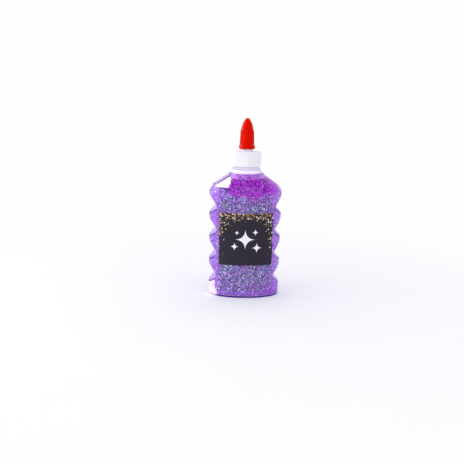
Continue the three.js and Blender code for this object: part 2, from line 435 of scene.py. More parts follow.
@dataclass(frozen=True)
class ClearPlastic(Finish):
    """Clear blown plastic with slight waves. Lamps and scattered light pass it unbent."""

    tint: Colour = srgb("fbf8ff")
    cool_tint: Colour = srgb("f1ebfd")
    refraction: float = 1.49
    roughness: float = 0.18
    wave_roughness: float = 0.03
    wave_length: float = 14.0
    wave_height: float = 0.05
    milk: Colour = srgb("f6f1fb")
    milk_roughness: float = 0.3
    milk_waves: float = 0.05
    milk_specular: float = 0.15
    # painted glow: the milky neck and the foot emit their own colour faintly, which lightens their shade
    milk_glow: float = 0.12
    haze: Fade = Fade(111.8, 113.4, 0.0, 0.65)
    # painted shade: a thin dark line under the collar's lower edge
    collar_shade_line: Colour = srgb("806c9c")
    line_height: float = 115.5
    line_width: Fade = Fade(0.15, 0.5, 0.8, 0.0)
    smear: Colour = srgb("b684de")
    smear_side: Fade = Fade(9.5, 12.0, 0.0, 0.8)
    smear_top: Fade = Fade(115.4, 116.4, 1.0, 0.0)
    smear_grain: float = 2.5
    smear_sway: float = 5.0
    # partly painted shade: the foot takes the gel's dark colour, partly the gel seen through the wall and
    # partly painted contact shade; less of it on the far left
    foot: Colour = srgb("3c0878")
    foot_height: Fade = Fade(1.5, 2.7, 1.0, 0.0)
    foot_left: Fade = Fade(-29.0, -24.0, 0.25, 1.0)
    foot_roughness: float = 0.5

    def surface(self, tree: ShaderTree) -> Wire:
        """Adds clear glass-like plastic, swapped for a plain pane where light is gathered.

        Args:
            tree: Where the nodes go.

        Returns:
            The shader.
        """
        place = tree.place()
        waves = tree.noise(place, self.wave_length, 1.0)
        clear = tree.principled(
            {
                "Base Color": tree.mix(waves, self.tint, self.cool_tint),
                "Roughness": self.roughness + waves * self.wave_roughness,
                "IOR": self.refraction,
                "Transmission Weight": 1.0,
                "Normal": tree.bump(waves, self.wave_height),
            }
        )
        clouded, milky = self.milky(tree, place, waves)
        pane = tree.add("ShaderNodeBsdfTransparent", inputs={"Color": self.tint})
        gathered = tree.rays("Is Shadow Ray", "Is Diffuse Ray")
        return tree.blend(gathered, tree.blend(clouded, clear, milky), pane)

    def milky(self, tree: ShaderTree, place: Wire, waves: Wire) -> tuple[Wire, Wire]:
        """Milky neck with a painted line of shade under the collar and a smear of gel, and the foot, painted
        dark in the gel's colour, partly the gel seen through the wall and partly painted contact shade; all
        of it glows faintly with a painted glow.

        Args:
            tree: Where the nodes go.
            place: Position in millimetres.
            waves: The plastic's waves.

        Returns:
            The mask of these places and their shader.
        """
        x, _, z = tree.split(place)
        hazy = tree.ease(z, self.haze)
        ragged = x + (tree.noise(place, self.smear_grain) - 0.5) * self.smear_sway
        smear = tree.ease(ragged, self.smear_side) * hazy * tree.ease(z, self.smear_top)
        # painted shade under the collar
        collar_shade_line = tree.ease(abs(z - self.line_height), self.line_width)
        # painted contact shade at the foot
        foot = tree.ease(z, self.foot_height) * tree.ease(x, self.foot_left)
        cloud = tree.mix(smear, tree.mix(waves, self.milk, self.cool_tint), self.smear)
        cloud = tree.mix(foot, tree.mix(collar_shade_line, cloud, self.collar_shade_line), self.foot)
        shader = tree.principled(
            {
                "Base Color": cloud,
                "Roughness": self.milk_roughness + waves * self.milk_waves + foot * self.foot_roughness,
                "Specular IOR Level": self.milk_specular,
                "Emission Color": cloud,
                # painted glow
                "Emission Strength": self.milk_glow,
            }
        )
        return hazy.larger(foot), shader


@dataclass(frozen=True)
class HueClouds:
    """Soft clouds of teal and orchid that drift through the glitter."""

    teal: Colour = srgb("78acda")
    orchid: Colour = srgb("a860de")
    drift: float = 13.0
    turn: Fade = Fade(0.44, 0.5)
    cool: Fade = Fade(0.34, 0.48, 0.35, 0.0)
    warm: Fade = Fade(0.44, 0.62, 0.0, 0.45)

    def tint(self, tree: ShaderTree, place: Wire, lift: Optional[Wire] = None) -> tuple[Wire, Wire]:
        """Adds the clouds.

        Args:
            tree: Where the nodes go.
            place: Position in millimetres.
            lift: How much further the warm clouds reach.

        Returns:
            How strongly they tint, and their colour.
        """
        cloud = tree.noise(place, self.drift)
        lifted = cloud if lift is None else cloud + lift
        share = tree.ease(lifted, self.warm).larger(tree.ease(cloud, self.cool))
        return share, tree.mix(tree.ease(cloud, self.turn), self.teal, self.orchid)


@dataclass(frozen=True)
class GelSpot:
    """A point of the gel as its nodes read it, with the random sway of the gel's bounds there."""

    place: Wire
    x: Wire
    y: Wire
    z: Wire
    sway: Wire


@dataclass(frozen=True)
class GlitterGel(Finish):
    """Tinted gel packed with foil flakes, which have sunk a little from the top and thin out in the lobes.
    Painted light makes its crown and lobes brighter and its upper faces pale, with painted highlights, a
    faint painted glow, and painted shade in creases and near the floor.
    """

    heart: Colour = srgb("44287e")
    # partly painted light: the crown's bright magenta, where light from above passes into the gel through few
    # flakes
    crown: Colour = srgb("be04dc")
    crown_deep: Colour = srgb("4a0074")
    cream: Colour = srgb("d08cf0")
    # partly painted light: the lobes' pale lilac, as if light passed through their thin gel
    lobe: Colour = srgb("ae66e8")
    # flakes in the crown are tinted with the same painted magenta
    blush: Colour = srgb("c640f0")
    pool: Colour = srgb("9840d4")
    # painted shade: the gel darkens near the floor
    heel_shade: Colour = srgb("581a98")
    # painted shade: dark purple for the creases under the ledges and in the top lobe, and for the edges round
    # the shoulder's painted highlight
    crease_shade: Colour = srgb("36006c")
    # painted glow: near-white colour that also emits light, on the gel's free top and on the painted
    # highlights
    film: Colour = srgb("faf4ff")
    # pale lilac of the painted light on the lobes' upper faces; also the froth's colour and the edge of the
    # glowing film
    ledge: Colour = srgb("c89cf4")
    # painted light: a pale lilac strip along the shoulder behind the painted highlight, where light shows
    # through the gel's edge
    lit_strip: Colour = srgb("c89cf0")
    clouds: HueClouds = HueClouds()
    warm_rise: Fade = Fade(68.0, 92.0, 0.0, 0.08)
    blush_share: float = 0.75
    swirl: float = 22.0
    swirl_grain: float = 11.0
    rise_sway: float = 0.2
    lobe_sway: float = 0.25
    side_sway: float = 0.3
    mottle: Fade = Fade(0.42, 0.57)
    mottle_grain: float = 1.5
    streaks: Fade = Fade(0.38, 0.56, 0.45, 1.0)
    streak_grain: float = 6.0
    crown_height: Fade = Fade(83.0, 92.0)
    crown_middle: float = 3.0
    crown_rise: float = 0.3
    crown_left: Fade = Fade(-19.0, -15.0)
    crown_right: Fade = Fade(8.0, 20.0, 0.0, 0.9)
    crown_back: Fade = Fade(-1.0, 6.0)
    crown_behind: float = 0.6
    crown_even: Fade = Fade(12.0, 24.0, 0.0, 0.6)
    crown_pale: Fade = Fade(17.0, 29.0, 0.0, 0.6)
    crown_thin: float = 0.9
    lobe_side: Fade = Fade(20.5, 27.0)
    lobe_thin: float = 0.8
    cream_height: Fade = Fade(106.4, 108.4)
    froth_left: Fade = Fade(6.0, 9.0, 0.0, 0.7)
    froth_right: Fade = Fade(13.0, 16.0, 1.0, 0.0)
    rim_height: Fade = Fade(109.9, 110.7, 0.0, 0.7)
    film_height: Fade = Fade(110.7, 111.0)
    heel_height: Fade = Fade(1.8, 3.8, 1.0, 0.0)
    sunk_height: Fade = Fade(3.8, 8.8, 0.8, 0.0)
    pool_side: Fade = Fade(13.0, 25.0)
    pool_height: Fade = Fade(5.0, 21.0, 0.85, 0.0)
    ledge_ends: Fade = Fade(24.5, 26.5)
    ledge_tilt: Fade = Fade(0.25, 0.5, 0.0, 0.8)
    ledge_foot: float = 11.1
    ledge_reach: float = 32.4
    ledge_slope: float = 0.88
    ledge_pitch: float = 21.1
    edge_width: Fade = Fade(0.5, 1.2, 0.95, 0.0)
    edge_tilt: float = 0.4
    lip_from: float = 90.0
    lip_height: float = 101.0
    lip_top: float = 101.4
    lip_middle: float = -0.9
    lip_reach: float = 26.7
    lip_slope: float = 0.72
    lip_width: Fade = Fade(0.1, 0.7, 0.0, 0.85)
    crease_from: float = 26.2
    crease_inset: float = 0.3
    crease_width: Fade = Fade(0.3, 0.8, 0.8, 0.0)
    # painted highlight: a pale glowing patch under the left shoulder in front, shaped as a pocket of air
    pocket_left: float = -27.7
    pocket_right: float = -16.2
    pocket_lean: float = 0.27
    pocket_foot: float = 99.6
    pocket_back: float = 4.6
    pocket_turn: float = 0.09
    pocket_side: Fade = Fade(-1.0, 2.0)
    pocket_rise: Fade = Fade(-0.9, 1.2)
    pocket_depth: Fade = Fade(-2.2, 0.1, 1.0, 0.0)
    pocket_bound: Fade = Fade(0.1, 0.55)
    back_line: Fade = Fade(0.5, 1.1, 0.95, 0.0)
    back_line_at: float = 0.7
    back_line_foot: float = 1.9
    foot_line: Fade = Fade(0.3, 0.8, 0.7, 0.0)
    foot_line_at: float = -1.0
    strip_foot: float = -2.0
    strip_front: Fade = Fade(0.4, 1.2, 0.0, 0.9)
    strip_back: Fade = Fade(4.0, 10.0, 1.0, 0.0)
    # painted highlight in the lowest lobe on the left
    foot_highlight_side: float = -26.6
    foot_highlight_lean: Fade = Fade(2.0, 10.0, 2.3, 0.0)
    foot_highlight_middle: tuple[float, float] = (-5.5, 8.0)
    foot_highlight_reach: tuple[float, float] = (8.0, 7.6)
    foot_highlight_squareness: float = 4.0
    foot_highlight_face: Fade = Fade(-0.5, 0.9)
    foot_highlight_top: Fade = Fade(0.5, 1.3)
    foot_highlight_rim: Fade = Fade(0.7, 1.0, 1.0, 0.0)
    cover: float = 0.95
    big_pitch: float = 1.45
    small_pitch: float = 0.95
    small_shift: tuple[float, float, float] = (7.3, 2.1, 5.7)
    flake_reach: float = 0.5
    flake_relief: float = 0.12
    small_relief: float = 0.5
    film_core: float = 3.0
    # partly painted light: real foil hues, with near-white steps as painted glints and near-black steps as
    # painted dark reflections
    foil: Stops = (
        (0.0, srgb("1a0c40")),
        (0.22, srgb("6c34c0")),
        (0.36, srgb("b09cfa")),
        (0.50, srgb("70aadc")),
        (0.64, srgb("d27cfc")),
        (0.78, srgb("e6dafe")),
        (0.90, srgb("ffffff")),
    )

    def surface(self, tree: ShaderTree) -> Wire:
        """Adds the gel with two sizes of flakes.

        Args:
            tree: Where the nodes go.

        Returns:
            The shader.
        """
        place = tree.place()
        sway = (tree.noise(place, self.swirl_grain, 3.0) - 0.5) * self.swirl
        spot = GelSpot(place, *tree.split(place), sway)
        bare, side = self.bounds(tree, spot)
        upper, edge = self.ledges(tree, spot)
        pocket_highlight, pocket_highlight_edge, lit_strip = self.pocket_highlight(tree, spot)
        # painted shade near the floor, where the flakes are also left out
        low = tree.ease(spot.z, self.heel_height)
        sunk = tree.ease(spot.z + sway * self.rise_sway, self.sunk_height)
        pool = tree.ease(spot.x + sway * self.side_sway, self.pool_side) * tree.ease(spot.z, self.pool_height)
        colour = self.body(tree, spot, bare, side)
        # layers over the gel: painted light in the strip, painted shade in the creases, the sunk and pool
        # tints, painted shade near the floor and painted light on the upper faces
        for share, layer in (
            (lit_strip, self.lit_strip),
            (edge.larger(pocket_highlight_edge), self.crease_shade),
            (sunk, self.clouds.orchid),
            (pool, self.pool),
            (low * self.cover, self.heel_shade),
            (upper, self.ledge),
        ):
            colour = tree.mix(share, colour, layer)
        # painted glow on the top face and on the painted highlights
        film = tree.largest(tree.ease(spot.z, self.film_height), pocket_highlight, self.foot_highlight(tree, spot))
        sparse = tree.largest(bare * self.crown_thin, side * self.lobe_thin, sunk, pool)
        crowd = 1.0 - tree.largest(sparse, low, lit_strip, pocket_highlight_edge, film, upper)
        big, big_foil, big_tilt = self.flakes(tree, place, self.big_pitch, crowd)
        small, small_foil, small_tilt = self.flakes(tree, place + self.small_shift, self.small_pitch, crowd)
        clouded, hue = self.clouds.tint(tree, place, tree.ease(spot.z, self.warm_rise))
        tinted = clouded.larger(bare * self.blush_share)
        tint = tree.mix(bare, hue, self.blush)
        colour = tree.mix(small, colour, tree.mix(tinted, small_foil, tint))
        colour = tree.mix(big * self.cover, colour, tree.mix(tinted, big_foil, tint))
        foil = big.larger(small)
        relief = big * big_tilt + small * small_tilt * self.small_relief
        return tree.principled(
            {
                "Base Color": tree.mix(film, colour, tree.mix(film**self.film_core, self.ledge, self.film)),
                "Roughness": 0.5 - foil * 0.2,
                "Metallic": foil * 0.2,
                "Specular IOR Level": 0.25,
                # painted glow of the film
                "Emission Color": tree.mix(film, BLACK, self.film),
                "Emission Strength": 0.1,
                "Normal": tree.bump(relief, self.flake_relief, 0.6),
            }
        )

    def bounds(self, tree: ShaderTree, spot: GelSpot) -> tuple[Wire, Wire]:
        """Where flakes are few.

        Args:
            tree: Where the nodes go.
            spot: The point.

        Returns:
            The mask of the crown, from which they have sunk, and the mask of the lobes.
        """
        domed = spot.z - abs(spot.x - self.crown_middle) * self.crown_rise + spot.sway
        behind = tree.ease(spot.y + spot.sway * self.rise_sway, self.crown_back)
        left = tree.ease(spot.x + spot.sway * self.side_sway, self.crown_left)
        bare = tree.ease(domed, self.crown_height) * left.larger(behind)
        spread = bare * tree.ease(spot.x, self.crown_right).larger(behind * self.crown_behind)
        side = tree.ease(abs(spot.x) + spot.sway * self.lobe_sway, self.lobe_side)
        return bare, side * (1.0 - spread)

    def body(self, tree: ShaderTree, spot: GelSpot, bare: Wire, side: Wire) -> Wire:
        """Colour of the gel between its flakes: deep below, magenta in the crown and lilac in the lobes, both
        partly the gel's own colour and partly painted light through thin gel, creamy under the rim.

        Args:
            tree: Where the nodes go.
            spot: The point.
            bare: Mask of the crown.
            side: Mask of the lobes.

        Returns:
            The colour.
        """
        mottle = tree.ease(tree.noise(spot.place, self.mottle_grain), self.mottle)
        streaks = tree.ease(tree.noise(spot.place, self.streak_grain, 1.0), self.streaks)
        high = tree.ease(spot.z + spot.sway * self.rise_sway, self.cream_height)
        # partly painted light: the crown's bright magenta
        magenta = tree.mix(mottle.larger(tree.ease(spot.x, self.crown_even)), self.crown_deep, self.crown)
        paler = tree.ease(spot.x, self.crown_pale) * (mottle * 0.5 + 0.5)
        gel = tree.mix(bare, self.heart, tree.mix(paler, magenta, self.clouds.orchid))
        creamy = high * streaks * (mottle * 0.4 + 0.6)
        # partly painted light: the lobes are paler where light passes through the thin gel
        gel = tree.mix(creamy.larger(side), gel, tree.mix(side, self.cream, self.lobe))
        froth = tree.ease(spot.x, self.froth_left) * tree.ease(spot.x, self.froth_right)
        gel = tree.mix(froth * high * mottle, gel, self.ledge)
        return tree.mix(tree.ease(spot.z, self.rim_height) * mottle, gel, self.crown_deep)

    def ledges(self, tree: ShaderTree, spot: GelSpot) -> tuple[Wire, Wire]:
        """Upper faces of the lobes, painted pale as if lit from above, with painted shade along the edges
        below them; on the top lobe, a painted highlight on its outer corner with a dark painted crease inside
        it.

        Args:
            tree: Where the nodes go.
            spot: The point.

        Returns:
            The mask of the painted pale faces and highlight, and the mask of the painted shade.
        """
        x, z = spot.x, spot.z
        _, _, upward = tree.split(tree.add("ShaderNodeNewGeometry", output="Normal"))
        ends = tree.ease(abs(x), self.ledge_ends) * (z < self.lip_from)
        level = z - self.ledge_foot + (abs(x) - self.ledge_reach) * self.ledge_slope
        off = (level + self.ledge_pitch * 1.5) % self.ledge_pitch - self.ledge_pitch / 2
        # painted light: faces that point up are paler
        faces = tree.ease(upward, self.ledge_tilt) * ends
        # painted shade along the edges below the ledges
        edges = tree.ease(abs(off), self.edge_width) * ends * (upward < self.edge_tilt)
        past_lip = abs(x - self.lip_middle) - self.lip_reach + (z - self.lip_height) * self.lip_slope
        on_lip = (z > self.lip_from) * (z < self.lip_top)
        # painted highlight on the top lobe's outer corner
        lip = tree.ease(past_lip, self.lip_width) * on_lip
        # painted shade: a dark crease inside that highlight
        crease_shade = tree.ease(abs(past_lip + self.crease_inset), self.crease_width)
        crease_shade = crease_shade * on_lip * (abs(x) > self.crease_from)
        return faces.larger(lip), edges.larger(crease_shade)

    def pocket_highlight(self, tree: ShaderTree, spot: GelSpot) -> tuple[Wire, Wire, Wire]:
        """Painted highlight under one shoulder in front, shaped as a pocket of air, which glows faintly with
        the film's painted light, with dark edges drawn round it.

        Args:
            tree: Where the nodes go.
            spot: The point.

        Returns:
            The masks of the painted highlight, of its dark edges and of the pale strip of painted light
            behind it.
        """
        x, front = spot.x, spot.y < 0.0
        above = spot.z - self.pocket_foot
        behind = spot.y + self.pocket_back + (x - self.pocket_left) * self.pocket_turn
        bound = self.pocket_right + above * self.pocket_lean + spot.sway * self.lobe_sway
        from_right = tree.ease(bound - x, self.pocket_side)
        from_foot = tree.ease(above, self.pocket_rise) * front
        from_back = tree.ease(behind, self.pocket_depth)
        inside = tree.ease(from_right * from_foot * from_back, self.pocket_bound)
        within = (x < bound) * (above > self.strip_foot)
        back_line = tree.ease(abs(behind - self.back_line_at), self.back_line) * (above > self.back_line_foot)
        foot_line = tree.ease(abs(above - self.foot_line_at), self.foot_line) * front * (x > self.pocket_left)
        # painted light behind the highlight
        lit_strip = tree.ease(behind, self.strip_front) * tree.ease(behind, self.strip_back) * within
        return inside, back_line.larger(foot_line) * within, lit_strip

    def foot_highlight(self, tree: ShaderTree, spot: GelSpot) -> Wire:
        """Painted highlight in the lowest lobe on one side, shaped as a bubble of air, which glows faintly
        with the film's painted light.

        Args:
            tree: Where the nodes go.
            spot: The point.

        Returns:
            The mask of the painted highlight.
        """
        below = self.ledge_foot - (abs(spot.x) - self.ledge_reach) * self.ledge_slope - spot.z
        bound = tree.ease(spot.z, self.foot_highlight_lean) + self.foot_highlight_side
        off_y, off_z = (
            ((way - middle) / reach) ** self.foot_highlight_squareness
            for way, middle, reach in zip((spot.y, spot.z), self.foot_highlight_middle, self.foot_highlight_reach)
        )
        face = tree.ease(bound - spot.x, self.foot_highlight_face)
        return face * tree.ease(below, self.foot_highlight_top) * tree.ease(off_y + off_z, self.foot_highlight_rim)

    def flakes(self, tree: ShaderTree, place: Wire, pitch: float, crowd: Wire) -> tuple[Wire, Wire, Wire]:
        """One size of flakes.

        Args:
            tree: Where the nodes go.
            place: Position in millimetres.
            pitch: Distance between flakes in millimetres.
            crowd: Share of places that hold a flake.

        Returns:
            The mask of the flakes, their colour, and a random height for each.
        """
        distance, chance = tree.cells(place, pitch)
        there, hue, tilt = tree.split(chance)
        mask = (distance < self.flake_reach) * (there < crowd)
        return mask, tree.ramp(hue, self.foil), tilt


@dataclass(frozen=True)
class GlitterFoil(Finish):
    """Loose foil flakes with a pearly shift from flake to flake; their colours include painted glints and
    dark reflections.
    """

    clouds: HueClouds = HueClouds(warm=Fade(0.44, 0.62, 0.0, 0.4))
    sheen_grain: float = 0.6
    # partly painted light: real foil hues, with near-white steps as painted glints and near-black steps as
    # painted dark reflections
    foil: Stops = (
        (0.0, srgb("160a38")),
        (0.24, srgb("743cc8")),
        (0.38, srgb("b8a6fc")),
        (0.52, srgb("7ab4e0")),
        (0.64, srgb("da82fc")),
        (0.76, srgb("ecdefe")),
        (0.86, srgb("a040ee")),
        (0.94, srgb("ffffff")),
    )

    def surface(self, tree: ShaderTree) -> Wire:
        """Adds foil whose colour is drawn for each flake.

        Args:
            tree: Where the nodes go.

        Returns:
            The shader.
        """
        place = tree.place()
        chance = tree.add("ShaderNodeNewGeometry", output="Random Per Island")
        sheen = tree.noise(place, self.sheen_grain, 1.0)
        share, hue = self.clouds.tint(tree, place)
        colour = tree.mix(share, tree.ramp(chance, self.foil), hue)
        return tree.principled(
            {
                "Base Color": tree.mix(sheen * 0.25, colour, WHITE),
                "Roughness": 0.25 + sheen * 0.2,
                "Metallic": 0.35 + sheen * 0.3,
            }
        )


@dataclass(frozen=True)
class LabelPrint(Finish):
    """Dark film label with printed gold confetti that thins out towards the middle."""

    half_width: float
    bottom: float
    top: float
    ground: Colour = srgb("26212e")
    ground_pale: Colour = srgb("302a39")
    grain: float = 0.5
    grain_height: float = 0.01
    gold: Stops = (
        (0.0, srgb("74562e")),
        (0.28, srgb("b48c50")),
        (0.56, srgb("d6ba8a")),
        (0.78, srgb("faf2ec")),
    )
    dot_sizes: tuple[tuple[float, float], ...] = ((1.1, 3.0), (1.45, 17.0), (1.9, 41.0))
    dot_scatter: float = 0.85
    dot_reach: float = 0.25
    dot_growth: float = 0.12
    dot_share: float = 0.64
    along_top: Fade = Fade(0.5, 9.0, 0.75, 0.0)
    along_side: Fade = Fade(0.3, 6.0, 0.34, 0.0)
    side_rise: Fade = Fade(2.0, 30.0)
    corner: Fade = Fade(3.0, 26.0, 0.58, 0.0)
    corner_slant: tuple[float, float] = (0.8, 1.6)
    white: Colour = srgb("f2eff6")
    sparkles: tuple[tuple[float, float, float], ...] = (
        (-1.0, 54.0, 9.5),
        (9.5, 46.5, 5.0),
        (-10.5, 47.5, 4.0),
        (8.0, 60.5, 3.2),
        (-8.5, 60.0, 2.4),
    )
    sharpness: float = 0.52

    def surface(self, tree: ShaderTree) -> Wire:
        """Adds the dark ground, three sizes of dots and the white sparkles.

        Args:
            tree: Where the nodes go.

        Returns:
            The shader.
        """
        place = tree.place()
        x, _, z = tree.split(place)
        grain = tree.noise(place, self.grain)
        colour = tree.mix(grain, self.ground, self.ground_pale)
        crowd = self.crowd(tree, x, z)
        sheet = tree.add("ShaderNodeCombineXYZ", inputs={0: x, 1: z})
        masks = []
        for pitch, shift in self.dot_sizes:
            dots, gold = self.dots(tree, sheet + (shift, shift * 2, 0.0), pitch, crowd)
            colour = tree.mix(dots, colour, gold)
            masks.append(dots)
        printed = reduce(Wire.__add__, masks)
        colour = tree.mix(self.stars(tree, x, z), colour, self.white)
        return tree.principled(
            {
                "Base Color": colour,
                "Roughness": 0.46 + grain * 0.1 - printed * 0.12,
                "Metallic": printed.smaller(1.0) * 0.2,
                "Specular IOR Level": 0.2,
                "Normal": tree.bump(grain, self.grain_height, 0.4),
            }
        )

    def crowd(self, tree: ShaderTree, x: Wire, z: Wire) -> Wire:
        """Share of places that hold a dot: most along the top, then the upper sides.

        Args:
            tree: Where the nodes go.
            x: Place across the label.
            z: Height.

        Returns:
            The share.
        """
        below_top = self.top - z
        from_side = self.half_width - abs(x)
        down, across = self.corner_slant
        corner = tree.ease(below_top * down + from_side * across, self.corner)
        along_side = tree.ease(from_side, self.along_side) * tree.ease(z - self.bottom, self.side_rise)
        return tree.largest(tree.ease(below_top, self.along_top), corner, along_side)

    def dots(self, tree: ShaderTree, sheet: Wire, pitch: float, crowd: Wire) -> tuple[Wire, Wire]:
        """One size of confetti dots.

        Args:
            tree: Where the nodes go.
            sheet: Place across and up the label.
            pitch: Distance between dots in millimetres.
            crowd: Share of places that hold a dot.

        Returns:
            The mask of the dots and their colour.
        """
        distance, chance = tree.cells(sheet, pitch, self.dot_scatter, flat=True)
        there, size, hue = tree.split(chance)
        mask = (distance < self.dot_reach + size * self.dot_growth) * (there < crowd * self.dot_share)
        return mask, tree.ramp(hue, self.gold)

    def stars(self, tree: ShaderTree, x: Wire, z: Wire) -> Wire:
        """White four-pointed sparkles in the middle of the label.

        Args:
            tree: Where the nodes go.
            x: Place across the label.
            z: Height.

        Returns:
            The mask of the sparkles.
        """
        stars = (
            abs(x - across) ** self.sharpness + abs(z - height) ** self.sharpness < reach**self.sharpness
            for across, height, reach in self.sparkles
        )
        return tree.largest(*stars)


@dataclass(frozen=True)
class MouldedPlastic(Finish):
    """Opaque moulded plastic with a faint flow mottle and a fine grain."""

    colour: Colour = srgb("f6f5f9")
    mottle: Colour = srgb("edecf2")
    roughness: float = 0.38
    specular: float = 0.5
    sheen: Colour = WHITE
    glow: float = 0.0
    glow_reach: tuple[float, float, float] = (1.0, 1.0, 1.0)
    flow: float = 6.0
    flow_roughness: float = 0.1
    grain: float = 0.25
    grain_height: float = 0.02

    def surface(self, tree: ShaderTree) -> Wire:
        """Adds the plastic.

        Args:
            tree: Where the nodes go.

        Returns:
            The shader.
        """
        place = tree.place()
        flow = tree.noise(place, self.flow)
        grain = tree.noise(place, self.grain)
        return tree.principled(
            {
                "Base Color": tree.mix(flow, self.colour, self.mottle),
                "Roughness": self.roughness + (flow - 0.5) * self.flow_roughness,
                "Specular IOR Level": self.specular,
                "Specular Tint": self.sheen,
                "Subsurface Weight": self.glow,
                "Subsurface Radius": self.glow_reach,
                "Subsurface Scale": MM,
                "Normal": tree.bump(grain, self.grain_height, 0.35),
            }
        )


@dataclass(frozen=True)
class LinerFoam(Finish):
    """Closed-cell foam of the sealing washer."""

    colour: Colour = srgb("dfdfe4")
    pore: Colour = srgb("bdbdc6")
    cell: float = 0.35
    cell_depth: float = 0.05

    def surface(self, tree: ShaderTree) -> Wire:
        """Adds the foam with its small cells.

        Args:
            tree: Where the nodes go.

        Returns:
            The shader.
        """
        distance, _ = tree.cells(tree.place(), self.cell)
        return tree.principled(
            {
                "Base Color": tree.mix(distance, self.pore, self.colour),
                "Roughness": 0.75 + distance * 0.2,
                "Normal": tree.bump(distance, self.cell_depth),
            }
        )


@dataclass(frozen=True)
class StudioFloor(Finish):
    """Pale table top that fades into the white of the backdrop."""

    colour: Colour = srgb("f4f5f7")
    mottle: Colour = srgb("f1f2f5")
    mottle_grain: float = 40.0
    backdrop: Colour = srgb("fefefe")
    far: Fade = Fade(110.0, 420.0)
    lift: float = 0.06

    def surface(self, tree: ShaderTree) -> Wire:
        """Adds a matt surface that keeps the shadow near the object.

        Args:
            tree: Where the nodes go.

        Returns:
            The shader.
        """
        place = tree.place()
        x, y, _ = tree.split(place)
        far = tree.ease((x * x + y * y) ** 0.5, self.far)
        grain = tree.noise(place, self.mottle_grain)
        matt = tree.principled(
            {
                "Base Color": tree.mix(grain, self.colour, self.mottle),
                "Roughness": 0.8 + grain * 0.1,
                "Specular IOR Level": 0.1,
                "Emission Color": self.colour,
                "Emission Strength": self.lift,
            }
        )
        glow = tree.add("ShaderNodeEmission", inputs={"Color": self.backdrop, "Strength": 1.0})
        seen = tree.rays("Is Camera Ray", "Is Glossy Ray", "Is Transmission Ray")
        return tree.blend(far * seen, matt, glow)


@dataclass(frozen=True)
class Corner:
    """A corner of an outline: reach from the axis, height, and how far back its rounding starts."""

    reach: float
    height: float
    round: float = 0.0

    @property
    def at(self) -> np.ndarray:
        """The corner as a point."""
        return np.array((self.reach, self.height))


def outline(corners: Sequence[Corner], spacing: float = 1.0, steps: int = 7) -> np.ndarray:
    """Points along an outline with rounded corners.

    Args:
        corners: Its corners in order.
        spacing: Longest step along a straight stretch.
        steps: Points on each rounding.

    Returns:
        One row of reach and height for each point.
    """
    points = [corners[0].at]
    for i, corner in enumerate(corners[1:], 1):
        if corner.round == 0 or i == len(corners) - 1:
            points.append(corner.at)
            continue
        before = towards(corner.at, corners[i - 1].at, corner.round)
        after = towards(corner.at, corners[i + 1].at, corner.round)
        for t in np.linspace(0, 1, steps):
            points.append((1 - t) ** 2 * before + 2 * t * (1 - t) * corner.at + t**2 * after)
    return thicken(np.array(points), spacing)


def towards(start: np.ndarray, end: np.ndarray, distance: float) -> np.ndarray:
    """The point a given way from one point to another, never past halfway.

    Args:
        start: Where the way begins.
        end: Where it leads.
        distance: How far along it.

    Returns:
        The point.
    """
    share = min(distance / np.linalg.norm(end - start), 0.5)
    return start + (end - start) * share


def thicken(points: np.ndarray, spacing: float) -> np.ndarray:
    """Adds points where an outline has long steps, and drops repeated ones.

    Args:
        points: The outline.
        spacing: Longest step.

    Returns:
        The outline with more points.
    """
    rows = [points[:1]]
    for start, end in zip(points, points[1:]):
        length = float(np.linalg.norm(end - start))
        if length < 1e-6:
            continue
        shares = np.linspace(0, 1, max(1, math.ceil(length / spacing)) + 1)[1:]
        rows.append(start + (end - start) * shares[:, None])
    return np.concatenate(rows)


def inset(points: np.ndarray, depth: Union[float, np.ndarray]) -> np.ndarray:
    """Moves an outline inwards, square to itself.

    Args:
        points: The outline, bottom to top with the outside on its right.
        depth: How far, for all points or for each.

    Returns:
        The moved outline.
    """
    steps = np.diff(points, axis=0)
    steps /= np.linalg.norm(steps, axis=1)[:, None]
    along = np.concatenate([steps[:1], steps]) + np.concatenate([steps, steps[-1:]])
    along /= np.linalg.norm(along, axis=1)[:, None]
    inwards = np.stack([-along[:, 1], along[:, 0]], axis=1)
    return points + inwards * np.reshape(depth, (-1, 1))


def turns(count: int) -> np.ndarray:
    """Angles of one full turn in equal steps."""
    return np.arange(count) * (2 * math.pi / count)


def hoop(radius: Union[float, np.ndarray], height: float, angles: np.ndarray) -> np.ndarray:
    """A level ring of points with one radius, or with one for each angle."""
    return np.stack([radius * np.cos(angles), radius * np.sin(angles), np.full(len(angles), height)], axis=1)


def capped(rings: Sequence[np.ndarray]) -> list[np.ndarray]:
    """Rings with a point in the middle of the first and of the last, so that their skin is closed."""
    return [rings[0].mean(axis=0)[None], *rings, rings[-1].mean(axis=0)[None]]


def unit(vector: np.ndarray) -> np.ndarray:
    """A vector's direction, with a length of one."""
    return vector / np.linalg.norm(vector)


def washer_profile(
    reach: tuple[float, float], height: tuple[float, float], rounds: tuple[float, float], spacing: float
) -> np.ndarray:
    """Closed profile of a flat ring with soft edges.

    Args:
        reach: Its inner and outer radius.
        height: Its bottom and top.
        rounds: How far back the roundings start, at the bottom and at the top.
        spacing: Longest step between points.

    Returns:
        Reach and height of its points.
    """
    (inner, outer), (bottom, top), (low, high) = reach, height, rounds
    start = Corner((inner + outer) / 2, bottom)
    corners = [
        start,
        Corner(outer, bottom, low),
        Corner(outer, top, high),
        Corner(inner, top, high),
        Corner(inner, bottom, low),
        start,
    ]
    return outline(corners, spacing, steps=4)[:-1]


